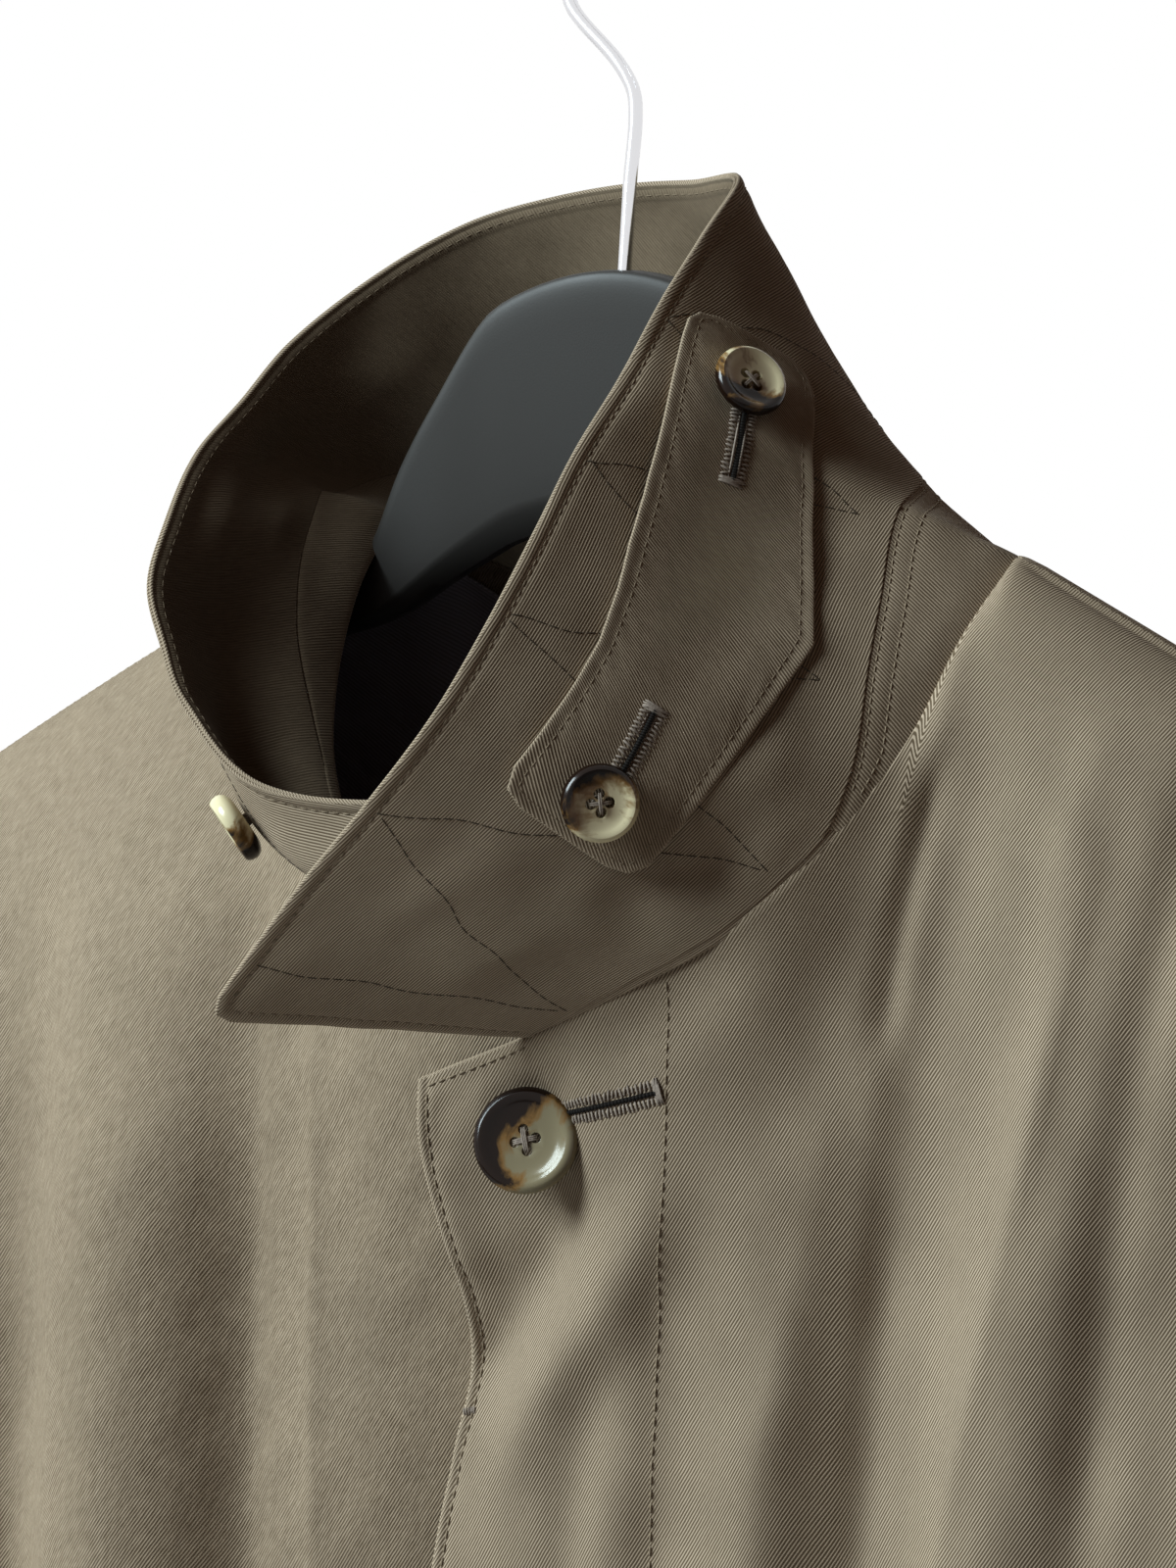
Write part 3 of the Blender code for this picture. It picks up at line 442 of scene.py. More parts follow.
def graded(span: float, coarse: float, features: Sequence[tuple[float, float, float]]) -> Array:
    """Places along a length, closer together at its features.

    Args:
        span: Length to divide.
        coarse: Spacing away from the features.
        features: Place, fine spacing and reach of each feature.

    Returns:
        Rising places from 0 to span.
    """
    places = np.linspace(0.0, span, 6001)
    density = np.full_like(places, 1.0 / coarse)
    for at, fine, reach in features:
        density += max(1.0 / fine - 1.0 / coarse, 0.0) * hump(places, at, reach)
    steps = 0.5 * (density[1:] + density[:-1]) * (places[1] - places[0])
    count = np.concatenate(([0.0], np.cumsum(steps)))
    return np.interp(np.linspace(0.0, count[-1], int(math.ceil(count[-1])) + 1), count, places)


def fold_out(folds: Sequence[Fold], share: Array, z: Array) -> Array:
    """How far the long folds of a panel stand out.

    Args:
        folds: The panel's folds.
        share: Place across the panel.
        z: Height.

    Returns:
        Millimetres along the cloth's normal.
    """
    total = np.zeros_like(z)
    for row in folds:
        run = (row.z_top - z) / (row.z_top - row.z_foot)
        gap = (share - (row.share + (row.foot - row.share) * run)) / row.width
        inside = (np.abs(gap) < 1.0) & (run >= 0.0) & (run <= 1.0)
        grow = ease((row.z_top - z) / row.grow) * ease((z - row.z_foot) / 60.0)
        total += np.where(inside, row.out * grow * (0.5 + 0.5 * np.cos(np.pi * gap)), 0.0)
    return total


def crease_out(creases: Sequence[Crease], first: Array, second: Array) -> Array:
    """How far the listed creases stand out.

    Args:
        creases: The creases.
        first: First coordinate of each point, in the creases' own plane.
        second: Second coordinate of each point.

    Returns:
        Millimetres along the cloth's normal.
    """
    total = np.zeros_like(first)
    for crease in creases:
        path = np.asarray(crease.path, float)
        runs = running(path)
        nearest, place = np.full_like(first, 1e9), np.zeros_like(first)
        for n, length in enumerate(np.diff(runs)):
            step = path[n + 1] - path[n]
            t = ((first - path[n, 0]) * step[0] + (second - path[n, 1]) * step[1]) / length ** 2
            t = np.clip(t, 0.0, 1.0)
            gap = np.hypot(first - path[n, 0] - t * step[0], second - path[n, 1] - t * step[1])
            place = np.where(gap < nearest, runs[n] + t * length, place)
            nearest = np.minimum(nearest, gap)
        share = place / runs[-1]
        ends = ease(share / crease.fade) * ease((1.0 - share) / crease.fade)
        if crease.kind is CreaseKind.PRESSED:
            shape = np.exp(-1.4 * np.sqrt((nearest / crease.width) ** 2 + 0.02))
        else:
            shape = hump(nearest, 0.0, crease.width)
        total += crease.out * ends * shape
    return total


def ripple(flat: Array, wave: float, seed: int) -> Array:
    """Low uneven waves over a cloth.

    Args:
        flat: Places on the cut cloth in millimetres.
        wave: Middle length of a wave.
        seed: Seed of the waves' directions and phases.

    Returns:
        Heights of about -1 to 1.
    """
    rng = np.random.default_rng(seed)
    total = np.zeros(flat.shape[:-1])
    for _ in range(6):
        turn, phase, scale = rng.uniform(0, math.pi), rng.uniform(0, 2 * math.pi), rng.uniform(0.7, 1.5)
        run = flat[..., 0] * math.cos(turn) + flat[..., 1] * math.sin(turn)
        total += np.sin(2 * math.pi * run / (wave * scale) + phase)
    return total / 3.5


def settled(points: Array, run: Array, down: Array, reach: float = 9.0) -> Array:
    """Points evened out along their rows, as threads settle that hang from a corner of the top edge.

    Args:
        points: Points by row and column.
        run: Rising places of the columns.
        down: Rows, 0 at the top edge, where the threads are held.
        reach: How far a thread feels its neighbours.

    Returns:
        The new points, with the first and last columns where they were.
    """
    total, weight = np.zeros_like(points), 0.0
    for step in np.linspace(-2.0, 2.0, 9):
        at = run + step * reach
        before, after = (at < run[0])[None, :, None], (at > run[-1])[None, :, None]
        inside = np.where(at < run[0], 2 * run[0] - at, np.where(at > run[-1], 2 * run[-1] - at, at))
        place = np.interp(inside, run, np.arange(run.size))
        column = np.minimum(place.astype(int), run.size - 2)
        part = (place - column)[None, :, None]
        read = points[:, column] * (1 - part) + points[:, column + 1] * part
        read = np.where(before, 2 * points[:, :1] - read, np.where(after, 2 * points[:, -1:] - read, read))
        total += math.exp(-step * step) * read
        weight += math.exp(-step * step)
    return points + (total / weight - points) * ease(down / 0.2)[:, None, None]


def shoulder_drop(points: Array) -> Array:
    """How far the hung coat's right shoulder lies under its left one."""
    return 0.057 * np.clip(-points[..., 0] - 80.0, 0.0, 160.0) * ease((points[..., 2] - CHEST_Z) / 200.0)


def corner_in(first: Array, second: Array, radius: float) -> Array:
    """How far a point near a cloth's corner moves in from both edges, so that the corner is round.

    Args:
        first: Distance from one edge.
        second: Distance from the other edge.
        radius: Radius of the corner.

    Returns:
        Millimetres from each edge.
    """
    return 0.29 * radius * np.clip(1 - first / radius, 0, 1) * np.clip(1 - second / radius, 0, 1)


def cut_places(points: Array, down: Array, middle: int) -> Array:
    """Places of a body cloth's points on its flat cut.

    Args:
        points: Points by row and column.
        down: Rows, 1 at the chest.
        middle: Column that lies at the cut's zero.

    Returns:
        Millimetres across and up the cut.
    """
    across, drops = running(points[..., :2], 1), running(points)
    chest = drops[int(np.argmin(np.abs(down - 1.0)))]
    flat = np.stack((across - across[:, middle:middle + 1], chest - drops), axis=-1)
    for step, passes in ((8, 1500), (4, 600), (2, 300), (1, 120)):
        flat = pressed_flat(points, flat, step, passes)
    return flat


def pressed_flat(points: Array, flat: Array, step: int, passes: int) -> Array:
    """Places on the cut, pressed until the cloth is as little stretched as it can be.

    Args:
        points: Points by row and column.
        flat: First places on the cut.
        step: Rows and columns from one pressed point to the next.
        passes: Number of times it is pressed.

    Returns:
        The new places.
    """
    rows, columns = (np.unique(np.append(np.arange(0, size, step), size - 1)) for size in flat.shape[:2])
    held, start = points[np.ix_(rows, columns)], flat[np.ix_(rows, columns)]
    places, links = start.copy(), []
    for down, right in ((0, 1), (1, 0), (1, 1), (1, -1)):
        a = (slice(0, rows.size - down), slice(max(0, -right), columns.size - max(0, right)))
        b = (slice(down, rows.size), slice(max(0, right), columns.size - max(0, -right)))
        links.append((a, b, np.linalg.norm(held[b] - held[a], axis=-1)))
    for _ in range(passes):
        move = np.zeros_like(places)
        for a, b, length in links:
            gap = places[b] - places[a]
            pull = gap * (1.0 - length / np.maximum(np.linalg.norm(gap, axis=-1), 1e-6))[..., None]
            move[a] += 0.11 * pull
            move[b] -= 0.11 * pull
        places += move
    change = np.stack([read_rows(row, columns, np.arange(flat.shape[1])) for row in places - start])
    fine = np.interp(np.arange(flat.shape[0]), rows, np.arange(rows.size))
    low = np.minimum(fine.astype(int), rows.size - 2)
    part = (fine - low)[:, None, None]
    return flat + change[low] * (1.0 - part) + change[low + 1] * part


def edge_roll(gap: Array, stitch: float, roll: float, groove: float) -> Array:
    """Rolled edge of a turned and stitched cloth, with the trough that its stitches pull.

    Args:
        gap: Distance from the edge.
        stitch: Distance of the stitch row from the edge.
        roll: Height of the roll.
        groove: Depth of the trough.

    Returns:
        Millimetres along the cloth's normal.
    """
    return roll * hump(gap, 0.40 * stitch, 0.42 * stitch) - groove * hump(gap, stitch, 0.75)


def hem_out(hem: Array) -> Array:
    """Soft roll of a turned hem and the trough of its stitches, by distance from the edge."""
    return 0.5 * hump(hem, 0.0, 3.0) - 0.45 * hump(hem, HEM_TURN, 1.3)


class Rim(Enum):
    """Profile of a cloth's edge, as shares of its thickness out from it and down from its face."""

    TURNED = ((0.20, 0.10), (0.36, 0.32), (0.38, 0.50), (0.36, 0.68), (0.20, 0.90))
    LAYERED = ((0.24, 0.08), (0.32, 0.24), (0.24, 0.40), (-0.10, 0.50), (0.24, 0.60), (0.32, 0.76),
               (0.24, 0.92))


@dataclass
class Cloth:
    """A sheet of cloth as a grid of points in coat millimetres: rows down it, columns across it."""

    points: Array
    across: Array
    down: Array
    flat: Array
    sign: float = 1.0
    wrap: bool = False
    normals: Array = field(init=False)
    tree: BVHTree | None = field(init=False, default=None)

    def __post_init__(self) -> None:
        """Measure the outward normals."""
        self.measure()

    def directions(self) -> tuple[Array, Array]:
        """Measure the cloth's own directions at each point.

        Returns:
            Unit directions across and down.
        """
        if self.wrap:
            step = np.roll(self.points, -1, 1) - np.roll(self.points, 1, 1)
        else:
            step = np.gradient(self.points, axis=1)
        return unit(step), unit(np.gradient(self.points, axis=0))

    def measure(self) -> None:
        """Set the outward normals from the points."""
        step, fall = self.directions()
        self.normals = unit(np.cross(step, fall)) * self.sign

    def lift(self, out: Array) -> None:
        """Move each point out along its normal."""
        self.points = self.points + self.normals * out[..., None]
        self.measure()

    def drape(self, share: Array, folds: Sequence[Fold], creases: Sequence[Crease],
              waves: Sequence[tuple[float, float]], seed: int) -> None:
        """Raise a body cloth's folds, creases and slight waves.

        Args:
            share: Place of each column across the panel.
            folds: Its long folds.
            creases: Its creases.
            waves: Height and length of each kind of wave.
            seed: Seed of the waves.
        """
        x, z = self.points[..., 0], self.points[..., 2]
        out = fold_out(folds, np.broadcast_to(share, z.shape), z) + crease_out(creases, x, z)
        free = ease(self.gap_down() / 60.0)
        for n, (high, long) in enumerate(waves):
            out += high * ripple(self.flat, long, seed + n) * free
        self.lift(out)

    def gap_across(self, from_last: bool = False) -> Array:
        """Distance of each point from the first, or the last, column along its row."""
        runs = running(self.points, 1)
        return runs[:, -1:] - runs if from_last else runs

    def gap_down(self, from_last: bool = False) -> Array:
        """Distance of each point from the first, or the last, row along its column."""
        runs = running(self.points)
        return runs[-1:] - runs if from_last else runs

    def at(self, across: Array | float, down: Array | float) -> tuple[Array, Array]:
        """Points and normals at places of the grid.

        Args:
            across: Column places, or one for all.
            down: Row places, or one for all.

        Returns:
            Points and normals, one row for each place.
        """
        c, r = np.broadcast_arrays(np.interp(np.atleast_1d(across), self.across, np.arange(self.across.size)),
                                   np.interp(np.atleast_1d(down), self.down, np.arange(self.down.size)))
        i = np.clip(r.astype(int), 0, self.down.size - 2)
        j = np.clip(c.astype(int), 0, self.across.size - 2)
        p, q = (r - i)[:, None], (c - j)[:, None]
        found = []
        for grid in (self.points, self.normals):
            upper = grid[i, j] * (1 - q) + grid[i, j + 1] * q
            lower = grid[i + 1, j] * (1 - q) + grid[i + 1, j + 1] * q
            found.append(upper * (1 - p) + lower * p)
        return found[0], unit(found[1])

    def faces(self) -> Array:
        """Number the corners of the grid's faces.

        Returns:
            Four corners for each face, turned outward.
        """
        index = np.arange(self.points.shape[0] * self.points.shape[1]).reshape(self.points.shape[:2])
        after = np.roll(index, -1, 1)
        if not self.wrap:
            index, after = index[:, :-1], index[:, 1:]
        quads = np.stack((index[:-1], after[:-1], after[1:], index[1:]), axis=-1).reshape(-1, 4)
        return quads if self.sign > 0 else quads[:, ::-1]

    def seen_at(self, x: Sequence[float], z: Sequence[float]) -> tuple[Array, Array]:
        """Points and normals of the outer face where a level line from the front meets it.

        Args:
            x: Places across the coat.
            z: Heights.

        Returns:
            Points and normals, one row for each place.
        """
        if self.tree is None:
            self.tree = BVHTree.FromPolygons(self.points.reshape(-1, 3).tolist(), self.faces().tolist())
        hits = [self.tree.ray_cast(Vector((a, -400.0, b)), Vector((0.0, 1.0, 0.0))) for a, b in zip(x, z)]
        points = np.array([tuple(hit[0]) for hit in hits])
        normals = np.array([tuple(-hit[1] if hit[1].y > 0 else hit[1]) for hit in hits])
        return points, normals

    def rims(self) -> list[Array]:
        """Number the corners of the open edges.

        Returns:
            One loop for each edge, in the turn of the outer faces.
        """
        index = np.arange(self.points.shape[0] * self.points.shape[1]).reshape(self.points.shape[:2])
        if self.wrap:
            return [index[0], index[-1, ::-1]]
        return [np.concatenate((index[0], index[1:, -1], index[-1, -2::-1], index[-2:0:-1, 0]))]

    def shell(self, name: str, thick: float | Array, rim: Rim, grain: float, lit_edge: float = 1.6) -> Object:
        """Closed thin shell of the cloth, its face on the grid and its back inside.

        Args:
            name: Name of the object.
            thick: Thickness of the cloth, one for all or one for each point.
            rim: Profile of its edges.
            grain: Angle of the cloth's twill, which crosses the turned edges on the bias.
            lit_edge: Reach of the paler tone painted along the edges as a highlight.

        Returns:
            The new object.
        """
        count = self.points.shape[0] * self.points.shape[1]
        outer, normals = self.points.reshape(-1, 3), self.normals.reshape(-1, 3)
        deep = np.broadcast_to(thick, self.points.shape[:2]).reshape(-1, 1)
        step, fall = self.directions()
        away = np.zeros_like(self.points)
        away[0] -= fall[0]
        away[-1] += fall[-1]
        gaps = [self.gap_down(True)] + [self.gap_down()] * (rim is Rim.LAYERED)
        if not self.wrap:
            away[:, 0] -= step[:, 0]
            away[:, -1] += step[:, -1]
            gaps += [self.gap_across(), self.gap_across(True)]
        away = unit(away).reshape(-1, 3)
        # Painted highlight: the colour turns paler near the edges, where the rolled edges catch the light.
        edge_highlight = np.exp(-np.min(gaps, axis=0).ravel() / lit_edge)
        flat, front = self.flat.reshape(-1, 2), self.faces()
        places, highlit = [outer, outer - normals * deep], [edge_highlight, edge_highlight]
        quads, cuts = [front, front[:, ::-1] + count], [flat[front], flat[front[:, ::-1]]]
        total, bias = 2 * count, math.radians(grain - BIAS)
        run_way = np.array((math.cos(bias), math.sin(bias)))
        arc_way = np.array((-math.sin(bias), math.cos(bias)))
        profile = np.array(((0.0, 0.0),) + rim.value + ((0.0, 1.0),))
        arcs = running(profile)
        for loop in self.rims():
            lengths = np.linalg.norm(outer[np.roll(loop, -1)] - outer[loop], axis=1)
            ends = np.cumsum(lengths)
            starts = ends - lengths
            layers = [loop]
            for out, depth in rim.value:
                places.append(outer[loop] + (away[loop] * out - normals[loop] * depth) * deep[loop])
                highlit.append(np.ones(loop.size))
                layers.append(np.arange(total, total + loop.size))
                total += loop.size
            layers.append(loop + count)
            for n, (a, b) in enumerate(zip(layers, layers[1:])):
                strip = np.stack((np.roll(a, -1), a, b, np.roll(b, -1)), axis=-1)
                near, far = arcs[n] * deep[loop] * arc_way, arcs[n + 1] * deep[loop] * arc_way
                first, last = starts[:, None] * run_way, ends[:, None] * run_way
                cut = np.stack((last + near, first + near, first + far, last + far), axis=1)
                quads.append(strip if self.sign > 0 else strip[:, ::-1])
                cuts.append(cut if self.sign > 0 else cut[:, ::-1])
        mesh = bpy.data.meshes.new(name)
        places = (np.concatenate(places) + COAT_AT) * MM
        mesh.from_pydata(places.tolist(), [], np.concatenate(quads).tolist())
        layer = mesh.uv_layers.new(name="cut")
        layer.data.foreach_set("uv", (np.concatenate(cuts) * MM).astype(np.float32).ravel())
        tone = mesh.attributes.new("lit_edge", "FLOAT", "POINT")
        tone.data.foreach_set("value", np.concatenate(highlit).astype(np.float32))
        mesh.shade_smooth()
        return link_piece(name, mesh)


def link_piece(name: str, mesh: Mesh) -> Object:
    """Object of a mesh at the origin, linked and riding on the coat's one body.

    Args:
        name: Name of the object.
        mesh: Its mesh.

    Returns:
        The new object.
    """
    piece = bpy.data.objects.new(name, mesh)
    bpy.context.scene.collection.objects.link(piece)
    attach(piece, "root")
    return piece


def active_piece(name: str) -> Object:
    """Name the object that an operator has just made and let it ride on the coat's one body.

    Args:
        name: Name of the object.

    Returns:
        The object.
    """
    piece = bpy.context.view_layer.objects.active
    piece.name = name
    piece.data.name = name
    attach(piece, "root")
    return piece


def deselect() -> None:
    """Leave nothing selected before an operator runs."""
    if bpy.context.view_layer.objects.active is None:
        bpy.context.view_layer.objects.active = bpy.context.scene.objects[0]
    for thing in bpy.context.selected_objects:
        thing.select_set(False)


def dress(piece: Object, node: str, slot: str, *materials: Material) -> Object:
    """Give a piece its materials and hide the node that it stands for.

    Args:
        piece: The piece.
        node: Name of the node that it replaces.
        slot: Not used.
        *materials: Its materials.

    Returns:
        The same piece.
    """
    for material in materials:
        piece.data.materials.append(material)
    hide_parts(node)
    return piece


@dataclass(frozen=True)
class Gabardine:
    """Tightly woven cotton gabardine: steep fine twill lines, a dry face and edges painted paler as a
    highlight.
    """

    shade: str = "#6F6150"
    face: str = "#9A8A77"
    light: str = "#BBAB98"
    # colour of the highlight painted along the edges
    edge_highlight: str = "#BBAB98"
    twill: float = 0.56     # the cloth's own lines are 0.5 apart, drawn coarser so that they show
    slub: tuple[float, float] = (0.7, 3.2)      # width and length of a slub in its yarn
    patch: float = 38.46    # size of its paler and darker patches

    def material(self, name: str, grain: float, depth: float = 1.0) -> Material:
        """Make the cloth's material.

        Args:
            name: Name of the material.
            grain: Angle of the twill lines from the cut's width, in degrees.
            depth: Strength of the twill.

        Returns:
            The material.
        """
        material, add, fill = new_material(name)
        cut = add("UVMap", uv_map="cut")
        turned = add("Mapping", {
            "Vector": cut.outputs["UV"], "Rotation": (0.0, 0.0, math.radians(90.0 - grain))})
        lines = add("TexWave", {
            "Vector": turned.outputs["Vector"], "Scale": 2 * math.pi / 20.0 / (self.twill * MM),
            "Distortion": 0.7, "Detail": 2.0, "Detail Scale": 0.6, "Detail Roughness": 0.6})
        wide, long = self.slub
        drawn = add("Mapping", {
            "Vector": turned.outputs["Vector"], "Scale": (1.0 / (wide * MM), 1.0 / (long * MM), 1.0)})
        yarn = add("TexNoise", {
            "Vector": drawn.outputs["Vector"], "Scale": 1.0, "Detail": 3.0, "Roughness": 0.65})
        place = add("TexCoord")
        cloud = add("TexNoise", {
            "Vector": place.outputs["Object"], "Scale": 1.0 / (self.patch * MM), "Detail": 4.0,
            "Roughness": 0.6})
        part = add("Math", {
            0: lines.outputs["Fac"], 1: 0.42 * depth, 2: 0.29 - 0.21 * depth}, operation="MULTIPLY_ADD")
        both = add("Math", {
            0: yarn.outputs["Fac"], 1: 0.48, 2: part.outputs["Value"]}, operation="MULTIPLY_ADD")
        ramp = add("ValToRGB", {"Fac": both.outputs["Value"]})
        stops = ramp.color_ramp.elements
        stops[0].position, stops[0].color = 0.22, linear(self.shade)
        stops[1].position, stops[1].color = 0.80, linear(self.light)
        stops.new(0.52).color = linear(self.face)
        tone = add("MapRange", {
            "Value": cloud.outputs["Fac"], "From Min": 0.3, "From Max": 0.7, "To Min": 0.93, "To Max": 1.06})
        faded = add("VectorMath", {
            0: ramp.outputs["Color"], "Scale": tone.outputs["Result"]}, operation="SCALE")
        # Painted highlight: the paler colour is mixed in near the edges.
        lit_edge = add("Attribute", attribute_name="lit_edge")
        patchy = add("Math", {0: lit_edge.outputs["Fac"], 1: both.outputs["Value"]}, operation="MULTIPLY")
        highlit = add("Mix", {
            "Factor": patchy.outputs["Value"], "A": faded.outputs["Vector"], "B": linear(self.edge_highlight)},
            data_type="RGBA")
        dry = add("MapRange", {"Value": both.outputs["Value"], "To Min": 0.92, "To Max": 0.70})
        relief = add("Bump", {
            "Height": both.outputs["Value"], "Strength": 0.75 / max(depth, 1.0), "Distance": 0.35 * MM})
        fill({
            "Base Color": highlit.outputs["Result"], "Roughness": dry.outputs["Result"],
            "Normal": relief.outputs["Normal"], "Specular IOR Level": 0.12, "Sheen Weight": 0.04,
            "Sheen Roughness": 0.45})
        return material


@dataclass(frozen=True)
class LiningTwill:
    """Thin lilac-grey lining: a close satin twill with a soft shine."""

    shade: str = "#8A8490"
    face: str = "#B0AAB6"
    twill: float = 0.8544   # from line to line, drawn coarser than they are so that they show

    def material(self) -> Material:
        """Make the lining's material.

        Returns:
            The material.
        """
        material, add, fill = new_material("lilac grey lining")
        cut = add("UVMap", uv_map="cut")
        lines = add("TexWave", {
            "Vector": cut.outputs["UV"], "Scale": 2 * math.pi / 10.0 / (math.sqrt(2.0) * self.twill * MM),
            "Distortion": 0.8, "Detail": 1.0}, bands_direction="DIAGONAL")
        colour = add("Mix", {
            "Factor": lines.outputs["Fac"], "A": linear(self.shade), "B": linear(self.face)},
            data_type="RGBA")
        relief = add("Bump", {"Height": lines.outputs["Fac"], "Strength": 0.2, "Distance": 0.1 * MM})
        fill({
            "Base Color": colour.outputs["Result"], "Normal": relief.outputs["Normal"], "Roughness": 0.48,
            "Sheen Weight": 0.10})
        return material


@dataclass(frozen=True)
class SewingThread:
    """Matt cotton thread with the slight flicker of its twist."""

    dark: str
    light: str
    twist: float = 0.5263   # length of a turn

    def material(self, name: str) -> Material:
        """Make the thread's material.

        Args:
            name: Name of the material.

        Returns:
            The material.
        """
        material, add, fill = new_material(name)
        place = add("TexCoord")
        twist = add("TexNoise", {
            "Vector": place.outputs["Object"], "Scale": 1.0 / (self.twist * MM), "Detail": 2.0})
        colour = add("Mix", {
            "Factor": twist.outputs["Fac"], "A": linear(self.dark), "B": linear(self.light)},
            data_type="RGBA")
        relief = add("Bump", {"Height": twist.outputs["Fac"], "Strength": 0.4, "Distance": 0.1 * MM})
        fill({
            "Base Color": colour.outputs["Result"], "Normal": relief.outputs["Normal"], "Roughness": 0.75,
            "Specular IOR Level": 0.3})
        return material


@dataclass(frozen=True)
class Horn:
    """Polished horn: cream and amber with cloudy dark brown patches that gather on the rim."""

    cream: str = "#D9CEAE"
    amber: str = "#8A6A3E"
    brown: str = "#22140C"
    patch: float = 9.524    # size of its patches
    fleck: float = 1.613    # and of the flecks in them

    def material(self, name: str, shift: tuple[float, float, float]) -> Material:
        """Make a button's material.

        Args:
            name: Name of the material.
            shift: Part of the horn that the button is cut from.

        Returns:
            The material.
        """
        material, add, fill = new_material(name)
        place = add("TexCoord")
        moved = add("Mapping", {"Vector": place.outputs["Object"], "Location": shift})
        cloud = add("TexNoise", {
            "Vector": moved.outputs["Vector"], "Scale": 1.0 / (self.patch * MM), "Detail": 5.0,
            "Roughness": 0.55, "Distortion": 0.9})
        fleck = add("TexNoise", {
            "Vector": moved.outputs["Vector"], "Scale": 1.0 / (self.fleck * MM), "Detail": 3.0})
        brown = add("Attribute", attribute_name="brown")
        weight = add("Math", {0: brown.outputs["Fac"], 1: cloud.outputs["Fac"]})
        mixed = add("Math", {
            0: fleck.outputs["Fac"], 1: 0.10, 2: weight.outputs["Value"]}, operation="MULTIPLY_ADD")
        ramp = add("ValToRGB", {"Fac": mixed.outputs["Value"]})
        stops = ramp.color_ramp.elements
        stops[0].position, stops[0].color = 0.49, linear(self.cream)
        stops[1].position, stops[1].color = 0.70, linear(self.brown)
        stops.new(0.60).color = linear(self.amber)
        polish = add("MapRange", {"Value": fleck.outputs["Fac"], "To Min": 0.14, "To Max": 0.26})
        relief = add("Bump", {"Height": fleck.outputs["Fac"], "Strength": 0.08, "Distance": 0.1 * MM})
        fill({
            "Base Color": ramp.outputs["Color"], "Roughness": polish.outputs["Result"],
            "Normal": relief.outputs["Normal"], "Specular IOR Level": 0.25, "Coat Weight": 0.12,
            "Coat Roughness": 0.1})
        return material


@dataclass(frozen=True)
class SatinPlastic:
    """Dark satin moulding of the hanger, finely grained, greyer where it catches the light."""

    base: str = "#3A3836"
    grain: float = 0.3846
    smear: float = 16.67

    def material(self) -> Material:
        """Make the hanger's material.

        Returns:
            The material.
        """
        material, add, fill = new_material("dark satin moulding")
        place = add("TexCoord")
        grain, smear = (add("TexNoise", {
            "Vector": place.outputs["Object"], "Scale": 1.0 / (size * MM), "Detail": detail})
            for size, detail in ((self.grain, 2.0), (self.smear, 4.0)))
        tone = add("MapRange", {"Value": smear.outputs["Fac"], "To Min": 0.42, "To Max": 0.56})
        relief = add("Bump", {"Height": grain.outputs["Fac"], "Strength": 0.12, "Distance": 0.1 * MM})
        fill({
            "Base Color": linear(self.base), "Roughness": tone.outputs["Result"],
            "Normal": relief.outputs["Normal"], "Specular IOR Level": 0.35})
        return material


@dataclass(frozen=True)
class PolishedSteel:
    """Bright drawn steel wire with faint lengthwise lines."""

    base: str = "#E2E2E4"
    line: float = 0.6667

    def material(self) -> Material:
        """Make the hook's material.

        Returns:
            The material.
        """
        material, add, fill = new_material("polished steel wire")
        place = add("TexCoord")
        drawn = add("Mapping", {"Vector": place.outputs["Object"], "Scale": (1.0, 1.0, 0.06)})
        lines = add("TexNoise", {
            "Vector": drawn.outputs["Vector"], "Scale": 1.0 / (self.line * MM), "Detail": 2.0})
        tone = add("MapRange", {"Value": lines.outputs["Fac"], "To Min": 0.10, "To Max": 0.24})
        fill({"Base Color": linear(self.base), "Roughness": tone.outputs["Result"], "Metallic": 1.0})
        return material


